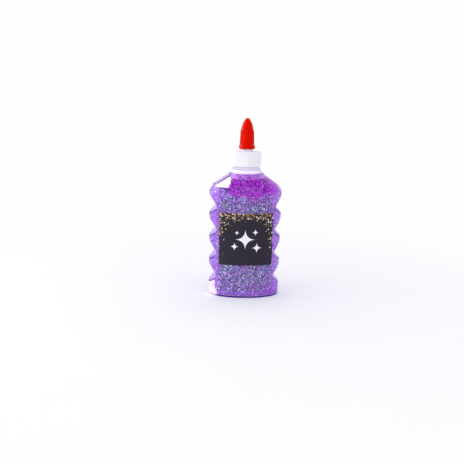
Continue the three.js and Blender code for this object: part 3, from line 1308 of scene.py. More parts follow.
class Draft:
    """Rings of points, in millimetres, that are skinned into closed meshes."""

    def __init__(self) -> None:
        """Starts with no points."""
        self.points: list[np.ndarray] = []
        self.faces: list[tuple[int, ...]] = []
        self.count = 0

    def skin(self, rings: Sequence[np.ndarray], closed: bool = False) -> None:
        """Covers a row of rings.

        Args:
            rings: Rings in order, each a closed loop or a single point.
            closed: Whether the last ring joins the first.
        """
        rows = [self._keep(ring) for ring in rings]
        if closed:
            rows.append(rows[0])
        for low, high in zip(rows, rows[1:]):
            self._band(low, high)

    def turn(self, profile: np.ndarray, count: int, relief: Optional[Relief] = None) -> None:
        """Turns a closed profile about the Z axis.

        Args:
            profile: Reach and height of its points.
            count: Steps of the turn.
            relief: How far the surface stands out, from angles, reaches and heights.
        """
        angles = turns(count)
        reach = np.repeat(profile[:, :1], count, axis=1)
        if relief is not None:
            reach = reach + relief(angles, profile[:, 0], profile[:, 1])
        self.skin([hoop(r, z, angles) for r, z in zip(reach, profile[:, 1])], closed=True)

    def _keep(self, ring: np.ndarray) -> np.ndarray:
        """Takes up the points of a ring.

        Args:
            ring: The points.

        Returns:
            Their numbers.
        """
        self.points.append(ring)
        self.count += len(ring)
        return np.arange(self.count - len(ring), self.count)

    def _band(self, low: np.ndarray, high: np.ndarray) -> None:
        """Adds the faces between two rings, either of which may be a single point.

        Args:
            low: Numbers of the lower ring's points.
            high: Numbers of the upper ring's points.
        """
        count = max(len(low), len(high))
        lower = np.resize(low, count).tolist()
        upper = np.resize(high, count).tolist()
        for j in range(count):
            k = (j + 1) % count
            face = (lower[j], lower[k], upper[k], upper[j])
            self.faces.append(tuple(dict.fromkeys(face)))

    def object(self, name: str, finish: bpy.types.Material, sharp: float = 40.0) -> bpy.types.Object:
        """Makes the mesh object.

        Args:
            name: Name of the piece.
            finish: Its material.
            sharp: Edges steeper than this stay sharp, in degrees.

        Returns:
            The object, in the part's frame.
        """
        mesh = bpy.data.meshes.new(name)
        mesh.from_pydata((np.concatenate(self.points) * MM).tolist(), [], self.faces)
        mesh.shade_smooth()
        mesh.set_sharp_from_angle(angle=math.radians(sharp))
        mesh.materials.append(finish)
        mesh.update()
        made = bpy.data.objects.new(name, mesh)
        bpy.context.scene.collection.objects.link(made)
        return made


@dataclass(frozen=True)
class Thread:
    """A right-handed rounded ridge that winds up a round wall, with its length and run-out in turns."""

    start: float
    pitch: float
    length: float
    width: float
    height: float
    run_out: Fade = Fade(0.0, 0.1)

    def ridge(self, angles: np.ndarray, heights: np.ndarray) -> np.ndarray:
        """How far the ridge stands out.

        Args:
            angles: Angles round the wall.
            heights: Heights on the wall.

        Returns:
            One row for each height, one column for each angle.
        """
        turned = angles[None, :] / (2 * math.pi)
        wound = (heights[:, None] - self.start) / self.pitch - turned
        lap = np.round(wound)
        aside = np.abs(wound - lap) * self.pitch / (self.width / 2)
        along = lap + turned
        ends = self.run_out.at(along) * self.run_out.at(self.length - along)
        return self.height * np.clip(1 - aside**2, 0, 1) * ends


@dataclass
class BottleForm:
    """Outside form of the bottle, which its wall, its filling and its label share."""

    crest_half_width: float = 33.0
    side_draft: float = 0.0085
    half_depth: float = 19.1
    shoulder_height: float = 101.7
    shoulder_half_width: float = 29.9
    shoulder_round: float = 0.7
    shoulder_lip: float = 1.1
    lip_flare: float = 0.2
    top_lobe_fall: float = 4.1
    top_lobe_round: float = 3.6
    heel_round: float = 2.6
    groove_count: int = 4
    lowest_groove: float = 19.4
    groove_pitch: float = 21.1
    groove_depth: float = 6.5
    ledge_fall: float = 5.7
    belly_rise: float = 9.2
    groove_round: float = 1.6
    ledge_round: float = 1.7
    belly_round: float = 3.2
    edge_round: float = 2.0
    foot_width: float = 3.6
    push_up: float = 3.4
    neck_root_height: float = 113.4
    neck_root_radius: float = 14.3
    neck_flare_height: float = 2.8
    neck_flare_radius: float = 16.6
    neck_flare_round: float = 3.0
    fill_height: float = 111.0
    gel_below: float = 1.2
    shoulder_wall: float = 1.4
    slope_blend: float = 2.0
    spacing: float = 0.9
    base_steps: int = 12
    segments: int = 200

    def gel_depth(self, heights: np.ndarray) -> np.ndarray:
        """Depth of the gel's face: the wall above it is thicker on the shoulder's slope."""
        slope = Fade(self.shoulder_height - self.slope_blend, self.shoulder_height + self.slope_blend)
        return self.gel_below + self.shoulder_wall * slope.at(heights)

    def crest_at(self, height: Union[float, np.ndarray]) -> Union[float, np.ndarray]:
        """Half width over the lobes at a height."""
        return self.crest_half_width - self.side_draft * (self.shoulder_height - height)

    def groove_floor(self, index: int) -> float:
        """Height of a groove's floor."""
        return self.lowest_groove + index * self.groove_pitch

    def side(self) -> np.ndarray:
        """Side outline from the foot to the root of the neck.

        Returns:
            Half width and height of its points.
        """
        corners = [
            Corner(self.crest_at(0) - self.heel_round, 0),
            Corner(self.crest_at(0), 0, self.heel_round),
        ]
        for i in range(self.groove_count):
            floor = self.groove_floor(i)
            ledge, belly = floor - self.ledge_fall, floor + self.belly_rise
            corners += [
                Corner(self.crest_at(ledge), ledge, self.ledge_round),
                Corner(self.crest_at(floor) - self.groove_depth, floor, self.groove_round),
                Corner(self.crest_at(belly), belly, self.belly_round),
            ]
        lobe = self.shoulder_height - self.top_lobe_fall
        lip = self.shoulder_half_width + self.lip_flare
        corners += [
            Corner(self.crest_at(lobe), lobe, self.top_lobe_round),
            Corner(lip, self.shoulder_height - self.shoulder_lip, self.shoulder_round),
            Corner(self.shoulder_half_width, self.shoulder_height, self.shoulder_round),
        ]
        return outline(corners + self.neck(), self.spacing)

    def neck(self) -> list[Corner]:
        """Corners where the shoulder's slope sweeps up into the neck's root.

        Returns:
            The last corners of the side and of the front outline.
        """
        foot = self.neck_root_height - self.neck_flare_height
        return [
            Corner(self.neck_flare_radius, foot, self.neck_flare_round),
            Corner(self.neck_root_radius, self.neck_root_height),
        ]

    def front(self) -> np.ndarray:
        """Front outline, which has no grooves.

        Returns:
            Half depth and height of its points.
        """
        corners = [
            Corner(self.half_depth - self.heel_round, 0),
            Corner(self.half_depth, 0, self.heel_round),
            Corner(self.half_depth, self.shoulder_height, self.shoulder_round),
        ]
        return outline(corners + self.neck(), self.spacing)

    def rings(self, depth: Callable[[np.ndarray], np.ndarray]) -> list[np.ndarray]:
        """Rings of the body below its surface, from the middle of the base to the root of the neck.

        Args:
            depth: Depth below the surface, from the heights of the outline.

        Returns:
            The rings, the first of which is a single point.
        """
        side, front = self.side(), self.front()
        below = depth(side[:, 1])
        narrow = inset(side, below)
        shallow = inset(front, depth(front[:, 1]))
        lowest = self.groove_floor(0) - self.ledge_fall - self.ledge_round
        highest = self.groove_floor(self.groove_count - 1) + self.belly_rise + self.belly_round
        made = self.base_rings(float(below[0]))
        for (x, z), d in zip(narrow, below):
            half = max(x, self.crest_at(z) - d) if lowest < z < highest else x
            made.append(self.ring(half, float(np.interp(z, shallow[:, 1], shallow[:, 0])), z, half - x))
        return made

    def base_rings(self, depth: float) -> list[np.ndarray]:
        """Rings of the hollow under the base.

        Args:
            depth: Depth above its underside.

        Returns:
            The rings from the middle outwards.
        """
        half = self.crest_at(0) - self.heel_round - self.foot_width
        deep = self.half_depth - self.heel_round - self.foot_width
        made = [np.array([(0.0, 0.0, depth + self.push_up)])]
        for share in np.linspace(0, 1, self.base_steps + 1)[1:]:
            made.append(self.ring(half * share, deep * share, depth + self.push_up * (1 - share**2), 0.0))
        return made

    def ring(self, half: float, deep: float, height: float, planed: float) -> np.ndarray:
        """One oval ring whose ends are planed off with a rounded edge.

        Args:
            half: Half width before planing.
            deep: Half depth.
            height: Its height.
            planed: How far each end is planed back.

        Returns:
            Its points.
        """
        angles = turns(self.segments)
        x = half * np.cos(angles)
        edge = self.edge_round
        past = 2 * math.sqrt(edge * max(planed, 0.0)) - edge if planed < edge else planed
        over = np.clip(np.abs(x) - (half - past), -edge, None)
        cut = np.where(over >= edge, over, (over + edge) ** 2 / (4 * edge))
        across = np.sign(x) * (np.abs(x) - cut)
        return np.stack([across, deep * np.sin(angles), np.full(len(angles), height)], axis=1)

    def circle(self, radius: float, height: float) -> np.ndarray:
        """A round ring with as many points as the body's."""
        return self.ring(radius, radius, height, 0.0)

    def panel_depth(self, x: float, heights: np.ndarray) -> np.ndarray:
        """Depth of the front panel at a place across it, for some heights."""
        return self.half_depth * np.sqrt(1 - (x / self.crest_at(heights)) ** 2)


@dataclass
class Assembly:
    """A group of pieces that ride on one body of the frame."""

    body: str

    def seat(self, piece: bpy.types.Object, slot: str, node: Optional[str] = None) -> bpy.types.Object:
        """Lets a piece ride on the body.

        Args:
            piece: The piece.
            slot: Material slot of the record; not used.
            node: Node of the frame that it stands for.

        Returns:
            The piece.
        """
        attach(piece, self.body)
        if node is not None:
            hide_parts(node)
        LOG.info("%s rides on %s, %d faces", piece.name, self.body, len(piece.data.polygons))
        return piece


@dataclass
class BodyAssembly(Assembly):
    """A group of pieces whose shape follows the bottle's form."""

    form: BottleForm = field(default_factory=BottleForm)


@dataclass
class Bottle(BodyAssembly):
    """Clear wall with its neck, collar and thread."""

    wall: float = 0.9
    bite: float = 0.08
    dry_above: Fade = Fade(0.4, 1.6)
    waist_radius: float = 12.8
    waist_round: float = 1.2
    collar_radius: float = 13.2
    collar_bottom: float = 115.6
    collar_top: float = 117.1
    collar_foot_round: float = 0.25
    collar_round: float = 0.3
    finish_radius: float = 10.2
    bore: float = 8.6
    rim_height: float = 128.8
    rim_round: float = 0.4
    throat_rise: float = 1.2
    throat_round: float = 1.0
    throat_wall: float = 1.3
    throat_drop: float = 0.3
    throat_foot_round: float = 0.8
    foot_wall: float = 1.1
    foot_drop: float = 1.2
    spacing: float = 0.3
    thread: Thread = Thread(start=120.3, pitch=NECK_PITCH, length=1.6, width=2.0, height=0.7)

    def build(self) -> bpy.types.Object:
        """Skins the wall, outside and inside, as one closed piece.

        Returns:
            The piece.
        """
        draft = Draft()
        outside = self.form.rings(np.zeros_like)
        inside = self.form.rings(self.wall_at)[::2]
        draft.skin(outside + self.neck_rings() + inside[::-1])
        piece = draft.object("bottle_wall", ClearPlastic("clear_plastic").material(), sharp=35.0)
        return self.seat(piece, "clear_plastic", "bottle")

    def wall_at(self, heights: np.ndarray) -> np.ndarray:
        """Depth of the inner face: where gel wets the wall it lies just inside the gel."""
        wetted = self.form.gel_depth(heights) + self.bite
        return wetted + (self.wall - wetted) * self.dry_above.at(heights - self.form.fill_height)

    def neck_rings(self) -> list[np.ndarray]:
        """Rings of the neck, up the outside and down the bore.

        Returns:
            The rings.
        """
        mid = (self.form.neck_root_height + self.collar_bottom) / 2
        step = (self.collar_top - self.collar_bottom) / 3
        corners = [
            Corner(self.form.neck_root_radius, self.form.neck_root_height),
            Corner(self.waist_radius, mid, self.waist_round),
            Corner(self.waist_radius, self.collar_bottom, self.collar_foot_round),
            Corner(self.collar_radius, self.collar_bottom + step, self.collar_round),
            Corner(self.collar_radius, self.collar_top - step, self.collar_round),
            Corner(self.finish_radius, self.collar_top, self.collar_round),
            Corner(self.finish_radius, self.rim_height, self.rim_round),
            Corner(self.bore, self.rim_height, self.rim_round),
            Corner(self.bore, self.collar_top + self.throat_rise, self.throat_round),
            Corner(
                self.waist_radius - self.throat_wall,
                self.collar_bottom - self.throat_drop,
                self.throat_foot_round,
            ),
            Corner(self.waist_radius - self.foot_wall, self.collar_bottom - self.foot_drop),
        ]
        profile = outline(corners, self.spacing, steps=5)[1:]
        on_finish = np.isclose(profile[:, 0], self.finish_radius)
        ridge = self.thread.ridge(turns(self.form.segments), profile[:, 1]) * on_finish[:, None]
        rings = []
        for (radius, height), proud in zip(profile, ridge):
            ring = self.form.circle(radius, height)
            ring[:, :2] *= (1 + proud / radius)[:, None]
            rings.append(ring)
        return rings


@dataclass
class Glue(BodyAssembly):
    """Glitter gel that fills the bottle, with loose flakes on its face."""

    meniscus: float = 0.5
    meniscus_reach: float = 0.16
    rim_room: float = 0.2
    surface_shares: tuple[float, ...] = (0.985, 0.96, 0.92, 0.86, 0.7, 0.45, 0.2)
    flake_count: int = 7500
    flake_lift: float = 0.12
    flake_radius: tuple[float, float] = (0.35, 0.7)
    flake_thickness: float = 0.07
    flake_tilt: float = 20.0
    flake_stray: float = 0.4
    flake_sides: int = 6
    top_thin: Fade = Fade(84.0, 94.0, 1.0, 0.03)
    side_thin: Fade = Fade(19.5, 27.0, 1.0, 0.15)
    base_thin: Fade = Fade(3.5, 11.0)
    pool_side: Fade = Fade(13.0, 25.0, 0.0, 0.7)
    pool_height: Fade = Fade(6.0, 20.0, 1.0, 0.0)
    seed: int = 20

    def build(self) -> list[bpy.types.Object]:
        """Skins the gel and scatters the flakes.

        Returns:
            Both pieces.
        """
        draft = Draft()
        rings = self.filled_rings(0.0)
        draft.skin(rings + self.surface_rings(rings[-1]))
        gel = draft.object("glue_gel", GlitterGel("glitter_gel").material(), sharp=50.0)
        flakes = self.flakes()
        return [self.seat(gel, "glitter_glue", "glue"), self.seat(flakes, "glitter_glue")]

    def filled_rings(self, lift: float) -> list[np.ndarray]:
        """Rings of the gel's side up to its surface.

        Args:
            lift: How far they stand out of the gel.

        Returns:
            The rings, the last of which lies at the top of the meniscus.
        """
        rings = self.form.rings(lambda z: self.form.gel_depth(z) - lift)
        top = self.form.fill_height + self.meniscus
        kept = [ring for ring in rings if ring[0, 2] < top - self.rim_room]
        below, above = kept[-1], rings[len(kept)]
        share = (top - below[0, 2]) / (above[0, 2] - below[0, 2])
        return kept + [below + (above - below) * share]

    def surface_rings(self, edge: np.ndarray) -> list[np.ndarray]:
        """Rings of the gel's free surface.

        Args:
            edge: Its edge on the wall.

        Returns:
            The rings from the edge to the middle.
        """
        made = []
        for share in self.surface_shares:
            ring = edge * share
            climb = max(0.0, (share - 1 + self.meniscus_reach) / self.meniscus_reach)
            ring[:, 2] = self.form.fill_height + self.meniscus * climb**2
            made.append(ring)
        return made + [np.array([(0.0, 0.0, self.form.fill_height)])]

    def flakes(self) -> bpy.types.Object:
        """Scatters thin six-sided flakes over the gel.

        Returns:
            The flakes as one piece.
        """
        chance = np.random.default_rng(self.seed)
        grid = np.stack(self.filled_rings(self.flake_lift)[1:])
        centre, normal, area = self.patches(grid)
        weight = area * self.crowd(centre)
        picked = chance.choice(len(weight), self.flake_count, p=weight / weight.sum())
        draft = Draft()
        for index in picked:
            draft.skin(self.flake(centre[index], normal[index], chance))
        return draft.object("glitter_flakes", GlitterFoil("glitter_foil").material(), sharp=180.0)

    @staticmethod
    def patches(grid: np.ndarray) -> tuple[np.ndarray, np.ndarray, np.ndarray]:
        """Small patches of a surface.

        Args:
            grid: Rings of points.

        Returns:
            The centre, outward normal and area of each patch.
        """
        low, high = grid[:-1], grid[1:]
        low_next, high_next = np.roll(low, -1, axis=1), np.roll(high, -1, axis=1)
        across = np.cross(high_next - low, high - low_next).reshape(-1, 3)
        length = np.linalg.norm(across, axis=1)
        centre = ((low + high + low_next + high_next) / 4).reshape(-1, 3)
        return centre, across / np.maximum(length, 1e-9)[:, None], length / 2

    def crowd(self, centre: np.ndarray) -> np.ndarray:
        """How crowded the flakes are: fewer near the top, near the base and in the lobes.

        Args:
            centre: Centres of patches.

        Returns:
            The share of flakes that each patch keeps.
        """
        x, _, z = centre.T
        pool = 1 - self.pool_side.at(x) * self.pool_height.at(z)
        return self.top_thin.at(z) * self.side_thin.at(np.abs(x)) * pool * self.base_thin.at(z)

    def flake(self, centre: np.ndarray, normal: np.ndarray, chance: np.random.Generator) -> list[np.ndarray]:
        """One flake, thickest in its middle.

        Args:
            centre: Where it lies.
            normal: Outward direction there.
            chance: Source of its size and tilt.

        Returns:
            Its rings: a point, the rim and a point.
        """
        sideways = unit(np.cross(normal, chance.normal(size=3)))
        lean = math.tan(math.radians(self.flake_tilt)) * chance.random()
        up = unit(normal + sideways * lean)
        first = unit(np.cross(up, chance.normal(size=3)))
        second = np.cross(up, first)
        stray = chance.uniform(-self.flake_stray, self.flake_stray, 2)
        spot = centre + sideways * stray[0] + np.cross(normal, sideways) * stray[1]
        radius = chance.uniform(*self.flake_radius)
        angles = turns(self.flake_sides)
        rim = spot + radius * (np.cos(angles)[:, None] * first + np.sin(angles)[:, None] * second)
        half = up * self.flake_thickness / 2
        return [(spot - half)[None], rim, (spot + half)[None]]


@dataclass
class FrontLabel(BodyAssembly):
    """Thin label bent over the front panel."""

    half_width: float = 23.9
    bottom: float = 30.4
    height: float = 46.8
    gap: float = 0.06
    thickness: float = 0.2
    columns: int = 60
    rows: int = 40

    def build(self) -> bpy.types.Object:
        """Skins the label as upright rings, from one side to the other.

        Returns:
            The piece.
        """
        draft = Draft()
        across = np.linspace(-self.half_width, self.half_width, self.columns + 1)
        draft.skin(capped([self.upright(x) for x in across]))
        finish = LabelPrint("label_print", self.half_width, self.bottom, self.bottom + self.height)
        piece = draft.object("label_sheet", finish.material(), sharp=30.0)
        return self.seat(piece, "label_paper", "front_label")

    def upright(self, x: float) -> np.ndarray:
        """One upright ring of the label.

        Args:
            x: Place across it.

        Returns:
            Points down its face and back up behind it.
        """
        heights = np.linspace(self.bottom, self.bottom + self.height, self.rows + 1)
        back = -self.form.panel_depth(x, heights) - self.gap
        columns = [np.stack([np.full_like(y, x), y, heights], axis=1) for y in (back - self.thickness, back)]
        return np.concatenate([columns[0][::-1], columns[1]])


class Ribs(Enum):
    """Which ribs a closure carries: how many, how high, and how softly they end."""

    CAP = (60, 0.4, 0.4)
    TIP = (20, 0.4, 0.9)

    def wave(self, angles: np.ndarray, heights: np.ndarray, low: float, high: float) -> np.ndarray:
        """How far the ribs stand out.

        Args:
            angles: Angles round the wall.
            heights: Heights on it.
            low: Where the ribs begin.
            high: Where they end.

        Returns:
            One row for each height, one column for each angle.
        """
        count, proud, run_out = self.value
        ends = Fade(low, low + run_out).at(heights) * Fade(high - run_out, high, 1.0, 0.0).at(heights)
        return proud * ends[:, None] * (1 + np.cos(count * angles))[None, :] / 2


@dataclass
class Cap(Assembly):
    """White ribbed screw cap with its spout."""

    bottom: float = 118.0
    top: float = 131.3
    root: float = 12.8
    bore: float = 11.3
    deck_underside: float = 129.8
    deck_round: float = 0.4
    rib_margin: float = 0.3
    edge_round: float = 0.45
    soft_round: float = 0.3
    boss_radius: float = 5.8
    boss_top: float = 133.2
    spout_radius: float = 4.2
    spout_bore: float = 2.7
    spout_top: float = 147.5
    bead: float = 0.4
    bead_round: float = 0.2
    bead_bottom: float = 138.5
    bead_top: float = 139.9
    seat_radius: float = 3.5
    seat_height: float = 145.3
    spacing: float = 0.35
    steps: int = 360
    thread: Thread = Thread(start=118.75, pitch=NECK_PITCH, length=1.9, width=2.0, height=0.7)
    cam: Thread = Thread(start=CAM_START, pitch=CAM_PITCH, length=1.1, width=1.6, height=0.3)

    def build(self) -> bpy.types.Object:
        """Turns the cap's profile and raises its ribs and threads.

        Returns:
            The piece.
        """
        proud = self.spout_radius + self.bead
        corners = [
            Corner(self.bore, self.bottom),
            Corner(self.root, self.bottom, self.soft_round),
            Corner(self.root, self.top, self.edge_round),
            Corner(self.boss_radius, self.top, self.soft_round),
            Corner(self.boss_radius, self.boss_top, self.soft_round),
            Corner(self.spout_radius, self.boss_top, self.soft_round),
            Corner(self.spout_radius, self.bead_bottom),
            Corner(proud, self.bead_bottom + self.bead, self.bead_round),
            Corner(proud, self.bead_top - self.bead, self.bead_round),
            Corner(self.spout_radius, self.bead_top),
            Corner(self.spout_radius, self.spout_top, self.soft_round),
            Corner(self.seat_radius, self.spout_top),
            Corner(self.seat_radius, self.seat_height),
            Corner(self.spout_bore, self.seat_height),
            Corner(self.spout_bore, self.deck_underside, self.soft_round),
            Corner(self.bore, self.deck_underside, self.deck_round),
            Corner(self.bore, self.bottom),
        ]
        draft = Draft()
        draft.turn(outline(corners, self.spacing, steps=5)[:-1], self.steps, self.relief)
        white = MouldedPlastic("white_plastic", glow=0.15, glow_reach=(1.0, 1.0, 1.1))
        return self.seat(draft.object("ribbed_cap", white.material()), "white_plastic", "screw_cap")

    def relief(self, angles: np.ndarray, reach: np.ndarray, heights: np.ndarray) -> np.ndarray:
        """Ribs outside, the thread inside and the cam on the spout.

        Args:
            angles: Angles of the turn.
            reach: Reaches of the profile's points.
            heights: Their heights.

        Returns:
            How far each point of each ring stands out.
        """
        on_wall, in_bore, on_spout = (
            np.isclose(reach, radius)[:, None] for radius in (self.root, self.bore, self.spout_radius)
        )
        ribs = Ribs.CAP.wave(angles, heights, self.bottom + self.rib_margin, self.top - self.rib_margin)
        thread = self.thread.ridge(angles, heights)
        return ribs * on_wall - thread * in_bore + self.cam.ridge(angles, heights) * on_spout


@dataclass
class Liner(Assembly):
    """Foam washer under the cap's deck."""

    reach: tuple[float, float] = (8.6, 11.0)
    height: tuple[float, float] = (128.8, 129.8)
    rounds: tuple[float, float] = (0.25, 0.25)
    spacing: float = 0.4
    steps: int = 120

    def build(self) -> bpy.types.Object:
        """Turns the washer with soft edges.

        Returns:
            The piece.
        """
        draft = Draft()
        draft.turn(washer_profile(self.reach, self.height, self.rounds, self.spacing), self.steps)
        piece = draft.object("washer", LinerFoam("liner_foam").material())
        return self.seat(piece, "liner_foam", "cap_liner")


@dataclass
class Plug(Assembly):
    """Pin on spokes in a ring, which closes the tip's mouth."""

    ring_inner: float = 2.3
    ring_outer: float = 3.2
    ring_rounds: tuple[float, float] = (0.15, 0.2)
    ring_spacing: float = 0.3
    bottom: float = 145.3
    ring_top: float = 147.2
    pin_radius: float = 0.7
    pin_top: float = 160.2
    pin_foot_reach: float = 0.4
    pin_foot_round: float = 0.1
    pin_top_reach: float = 0.2
    pin_top_round: float = 0.35
    pin_spacing: float = 0.5
    spokes: int = 3
    spoke_width: float = 0.9
    spoke_height: float = 1.1
    spoke_bevel: float = 0.2
    spoke_root: float = 0.3
    steps: int = 72

    def build(self) -> bpy.types.Object:
        """Turns the ring and the pin and sets the spokes between them.

        Returns:
            The piece.
        """
        draft = Draft()
        reach, height = (self.ring_inner, self.ring_outer), (self.bottom, self.ring_top)
        draft.turn(washer_profile(reach, height, self.ring_rounds, self.ring_spacing), self.steps)
        draft.skin(self.pin())
        for angle in turns(self.spokes):
            draft.skin(self.spoke(angle))
        white = MouldedPlastic("plug_plastic", roughness=0.42)
        return self.seat(draft.object("plug_pin", white.material()), "white_plastic", "spout_plug")

    def pin(self) -> list[np.ndarray]:
        """The pin with its rounded top.

        Returns:
            Its rings, closed by a point at each end.
        """
        corners = [
            Corner(self.pin_foot_reach, self.bottom),
            Corner(self.pin_radius, self.bottom, self.pin_foot_round),
            Corner(self.pin_radius, self.pin_top, self.pin_top_round),
            Corner(self.pin_top_reach, self.pin_top),
        ]
        angles = turns(self.steps // 2)
        profile = outline(corners, self.pin_spacing, steps=5)
        return capped([hoop(r, z, angles) for r, z in profile])

    def spoke(self, angle: float) -> list[np.ndarray]:
        """One spoke from inside the pin to inside the ring.

        Args:
            angle: Its direction.

        Returns:
            Its rings, closed by a point at each end.
        """
        half, bevel = self.spoke_width / 2, self.spoke_bevel
        low, high = self.bottom, self.bottom + self.spoke_height
        right = [(half, low), (half, high - bevel), (half - bevel, high)]
        section = np.array([(-half, low), *right, (bevel - half, high), (-half, high - bevel)])
        out = np.array((math.cos(angle), math.sin(angle), 0.0))
        side = np.array((-math.sin(angle), math.cos(angle), 0.0))
        up = np.array((0.0, 0.0, 1.0))
        reaches = np.linspace(self.pin_radius - self.spoke_root, self.ring_inner + self.spoke_root, 5)
        return capped([out * reach + section[:, :1] * side + up * section[:, 1:] for reach in reaches])


@dataclass
class Tip(Assembly):
    """Red bullet-shaped tip that twists up on the spout."""

    bottom: float = 133.5
    top: float = 160.6
    flange_radius: float = 7.3
    flange_top: float = 135.9
    flange_round: float = 0.7
    grip_bottom: float = 137.7
    grip_low: float = 6.2
    grip_high: float = 5.65
    grip_top: float = 149.9
    grip_round: float = 0.4
    rib_below: float = 0.8
    rib_above: float = 0.5
    rib_inset: float = 0.5
    nose: tuple[tuple[float, float], ...] = ((4.9, 154.2), (3.2, 158.2))
    nose_radius: float = 1.35
    mouth_radius: float = 1.0
    mouth_round: float = 0.2
    throat: float = 156.9
    bore: float = 4.9
    bore_top: float = 148.2
    bore_round: float = 0.6
    lip_radius: float = 4.5
    lip_top: float = 134.7
    spacing: float = 0.4
    steps: int = 240
    cam: Thread = Thread(start=CAM_START + CAM_PITCH / 2, pitch=CAM_PITCH, length=0.8, width=1.6, height=0.3)

    def build(self) -> bpy.types.Object:
        """Turns the tip's profile and raises its grip ribs.

        Returns:
            The piece.
        """
        corners = [
            Corner(self.lip_radius, self.bottom),
            Corner(self.flange_radius, self.bottom, self.flange_round),
            Corner(self.flange_radius, self.flange_top, self.flange_round),
            Corner(self.grip_low, self.grip_bottom, self.flange_round),
            Corner(self.grip_high, self.grip_top, self.grip_round),
            *(Corner(reach, height, math.inf) for reach, height in self.nose),
            Corner(self.nose_radius, self.top, self.mouth_round),
            Corner(self.mouth_radius, self.top, self.mouth_round),
            Corner(self.mouth_radius, self.throat),
            Corner(self.bore, self.bore_top, self.bore_round),
            Corner(self.bore, self.lip_top),
            Corner(self.lip_radius, self.lip_top),
            Corner(self.lip_radius, self.bottom),
        ]
        draft = Draft()
        draft.turn(outline(corners, self.spacing, steps=12)[:-1], self.steps, self.relief)
        red = MouldedPlastic(
            "red_plastic",
            srgb("de0800"),
            srgb("d20500"),
            roughness=0.32,
            specular=0.2,
            sheen=srgb("ff8a20"),
        )
        return self.seat(draft.object("ribbed_tip", red.material()), "red_plastic", "twist_tip")

    def relief(self, angles: np.ndarray, reach: np.ndarray, heights: np.ndarray) -> np.ndarray:
        """Grip ribs outside and the cam inside.

        Args:
            angles: Angles of the turn.
            reach: Reaches of the profile's points.
            heights: Their heights.

        Returns:
            How far each point of each ring stands out.
        """
        outside = reach > self.grip_high - self.rib_inset
        in_bore = np.isclose(reach, self.bore)
        low, high = self.grip_bottom - self.rib_below, self.grip_top + self.rib_above
        ribs = Ribs.TIP.wave(angles, heights, low, high)
        return ribs * outside[:, None] - self.cam.ridge(angles, heights) * in_bore[:, None]


class LampUse(Enum):
    """What a lamp is for: to light surfaces, or only to be mirrored in them."""

    LIGHT = "light"
    MIRRORED = "mirrored"


@dataclass(frozen=True)
class Lamp:
    """A soft lamp with a square-cornered face, in millimetres and watts."""

    name: str
    place: tuple[float, float, float]
    aim: tuple[float, float, float]
    width: float
    height: float
    power: float
    use: LampUse

    def hang(self) -> None:
        """Adds the lamp to the scene."""
        data = bpy.data.lights.new(self.name, "AREA")
        data.shape = "RECTANGLE"
        data.size, data.size_y = self.width * MM, self.height * MM
        data.energy = self.power
        made = bpy.data.objects.new(self.name, data)
        made.location = Vector(self.place) * MM
        ahead = Vector(self.aim) - Vector(self.place)
        made.rotation_euler = ahead.to_track_quat("-Z", "Y").to_euler()
        made.visible_camera = made.visible_transmission = False
        made.visible_diffuse = self.use is LampUse.LIGHT
        made.visible_glossy = self.use is LampUse.MIRRORED
        bpy.context.scene.collection.objects.link(made)


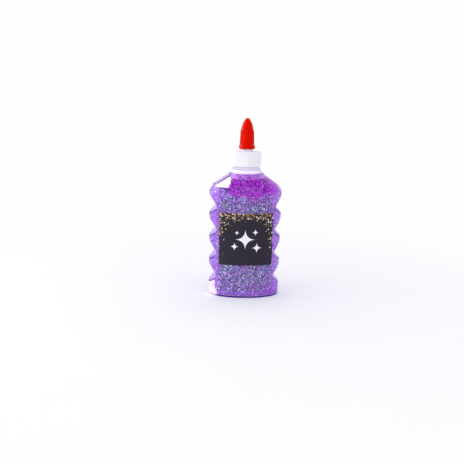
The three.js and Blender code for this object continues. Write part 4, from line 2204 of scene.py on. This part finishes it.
@dataclass
class Studio:
    """Table top, backdrop, soft lamps and the camera."""

    camera_place: tuple[float, float, float] = (-52.3, -597.7, 165.4)
    pitch: float = 10.22
    yaw: float = 3.89
    roll: float = 1.32
    focal: float = 664.0
    image_width: float = 464.0
    sensor: float = 36.0
    clip: tuple[float, float] = (0.01, 50.0)
    floor_radii: tuple[float, ...] = (60.0, 200.0, 600.0, 1800.0, 6000.0)
    floor_steps: int = 96
    world_light: float = 0.97
    world_tint: Colour = srgb("fcfbff")
    backdrop: Colour = srgb("fefefe")
    room: Colour = (0.12, 0.12, 0.12, 1.0)
    room_front: Fade = Fade(-0.5, 0.35)
    lamps: tuple[Lamp, ...] = (
        Lamp("key", (-760.0, -260.0, 430.0), (0.0, 0.0, 80.0), 900.0, 900.0, 2.0, LampUse.LIGHT),
        Lamp("window", (-714.0, 88.0, 642.0), (0.0, 0.0, 100.0), 840.0, 420.0, 4.5, LampUse.MIRRORED),
        Lamp("left_wall", (-480.0, 60.0, 190.0), (0.0, 0.0, 140.0), 600.0, 300.0, 1.2, LampUse.MIRRORED),
    )

    def build(self) -> None:
        """Sets up everything round the object."""
        bpy.context.scene.view_settings.view_transform = "Standard"
        self.add_floor()
        self.set_world()
        for lamp in self.lamps:
            lamp.hang()
        self.add_camera()

    def add_floor(self) -> None:
        """Adds the table top as a round sheet."""
        draft = Draft()
        angles = turns(self.floor_steps)
        draft.skin([np.zeros((1, 3)), *(hoop(radius, 0.0, angles) for radius in self.floor_radii)])
        floor = draft.object("table_top", StudioFloor("table_top").material())
        floor.data.flip_normals()

    def set_world(self) -> None:
        """Lights the scene evenly, shows a white backdrop and mirrors a dim room in front of it."""
        world = bpy.data.worlds.new("studio")
        world.use_nodes = True
        bpy.context.scene.world = world
        tree = ShaderTree(world.node_tree)
        _, backwards, _ = tree.split(tree.add("ShaderNodeTexCoord", output="Generated"))
        mirrored = tree.rays("Is Glossy Ray") * (1.0 - tree.rays("Is Transmission Ray"))
        shown = tree.mix(tree.ease(backwards, self.room_front), self.room, self.backdrop)
        light, white, around = (
            tree.add("ShaderNodeBackground", inputs={"Color": colour, "Strength": strength})
            for colour, strength in ((self.world_tint, self.world_light), (self.backdrop, 1.0), (shown, 1.0))
        )
        plain = tree.blend(tree.rays("Is Camera Ray", "Is Transmission Ray"), light, white)
        tree.close("ShaderNodeOutputWorld", tree.blend(mirrored, plain, around))

    def add_camera(self) -> None:
        """Adds the camera at the photograph's viewing angle."""
        p, y, r = (math.radians(a) for a in (self.pitch, self.yaw, self.roll))
        ahead = Vector((math.sin(y) * math.cos(p), math.cos(y) * math.cos(p), -math.sin(p)))
        right = Vector((math.cos(y), -math.sin(y), 0.0))
        up = right.cross(ahead)
        leaned_right = right * math.cos(r) + up * math.sin(r)
        leaned_up = up * math.cos(r) - right * math.sin(r)
        data = bpy.data.cameras.new("camera")
        data.sensor_width = self.sensor
        data.lens = self.focal / self.image_width * self.sensor
        data.clip_start, data.clip_end = self.clip
        camera = bpy.data.objects.new("camera", data)
        turn = Matrix((leaned_right, leaned_up, -ahead)).transposed().to_4x4()
        camera.matrix_world = Matrix.Translation(Vector(self.camera_place) * MM) @ turn
        bpy.context.scene.collection.objects.link(camera)
        bpy.context.scene.camera = camera


def main() -> None:
    """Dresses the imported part, one sub-assembly after another."""
    logging.basicConfig(level=logging.INFO, format="%(name)s: %(message)s")
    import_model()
    Studio().build()
    form = BottleForm()
    for assembly in (
        Bottle("bottle", form),
        Glue("bottle", form),
        FrontLabel("bottle", form),
        Liner("liner"),
        Cap("cap"),
        Plug("plug"),
        Tip("tip"),
    ):
        assembly.build()


if __name__ == "__main__":
    main()
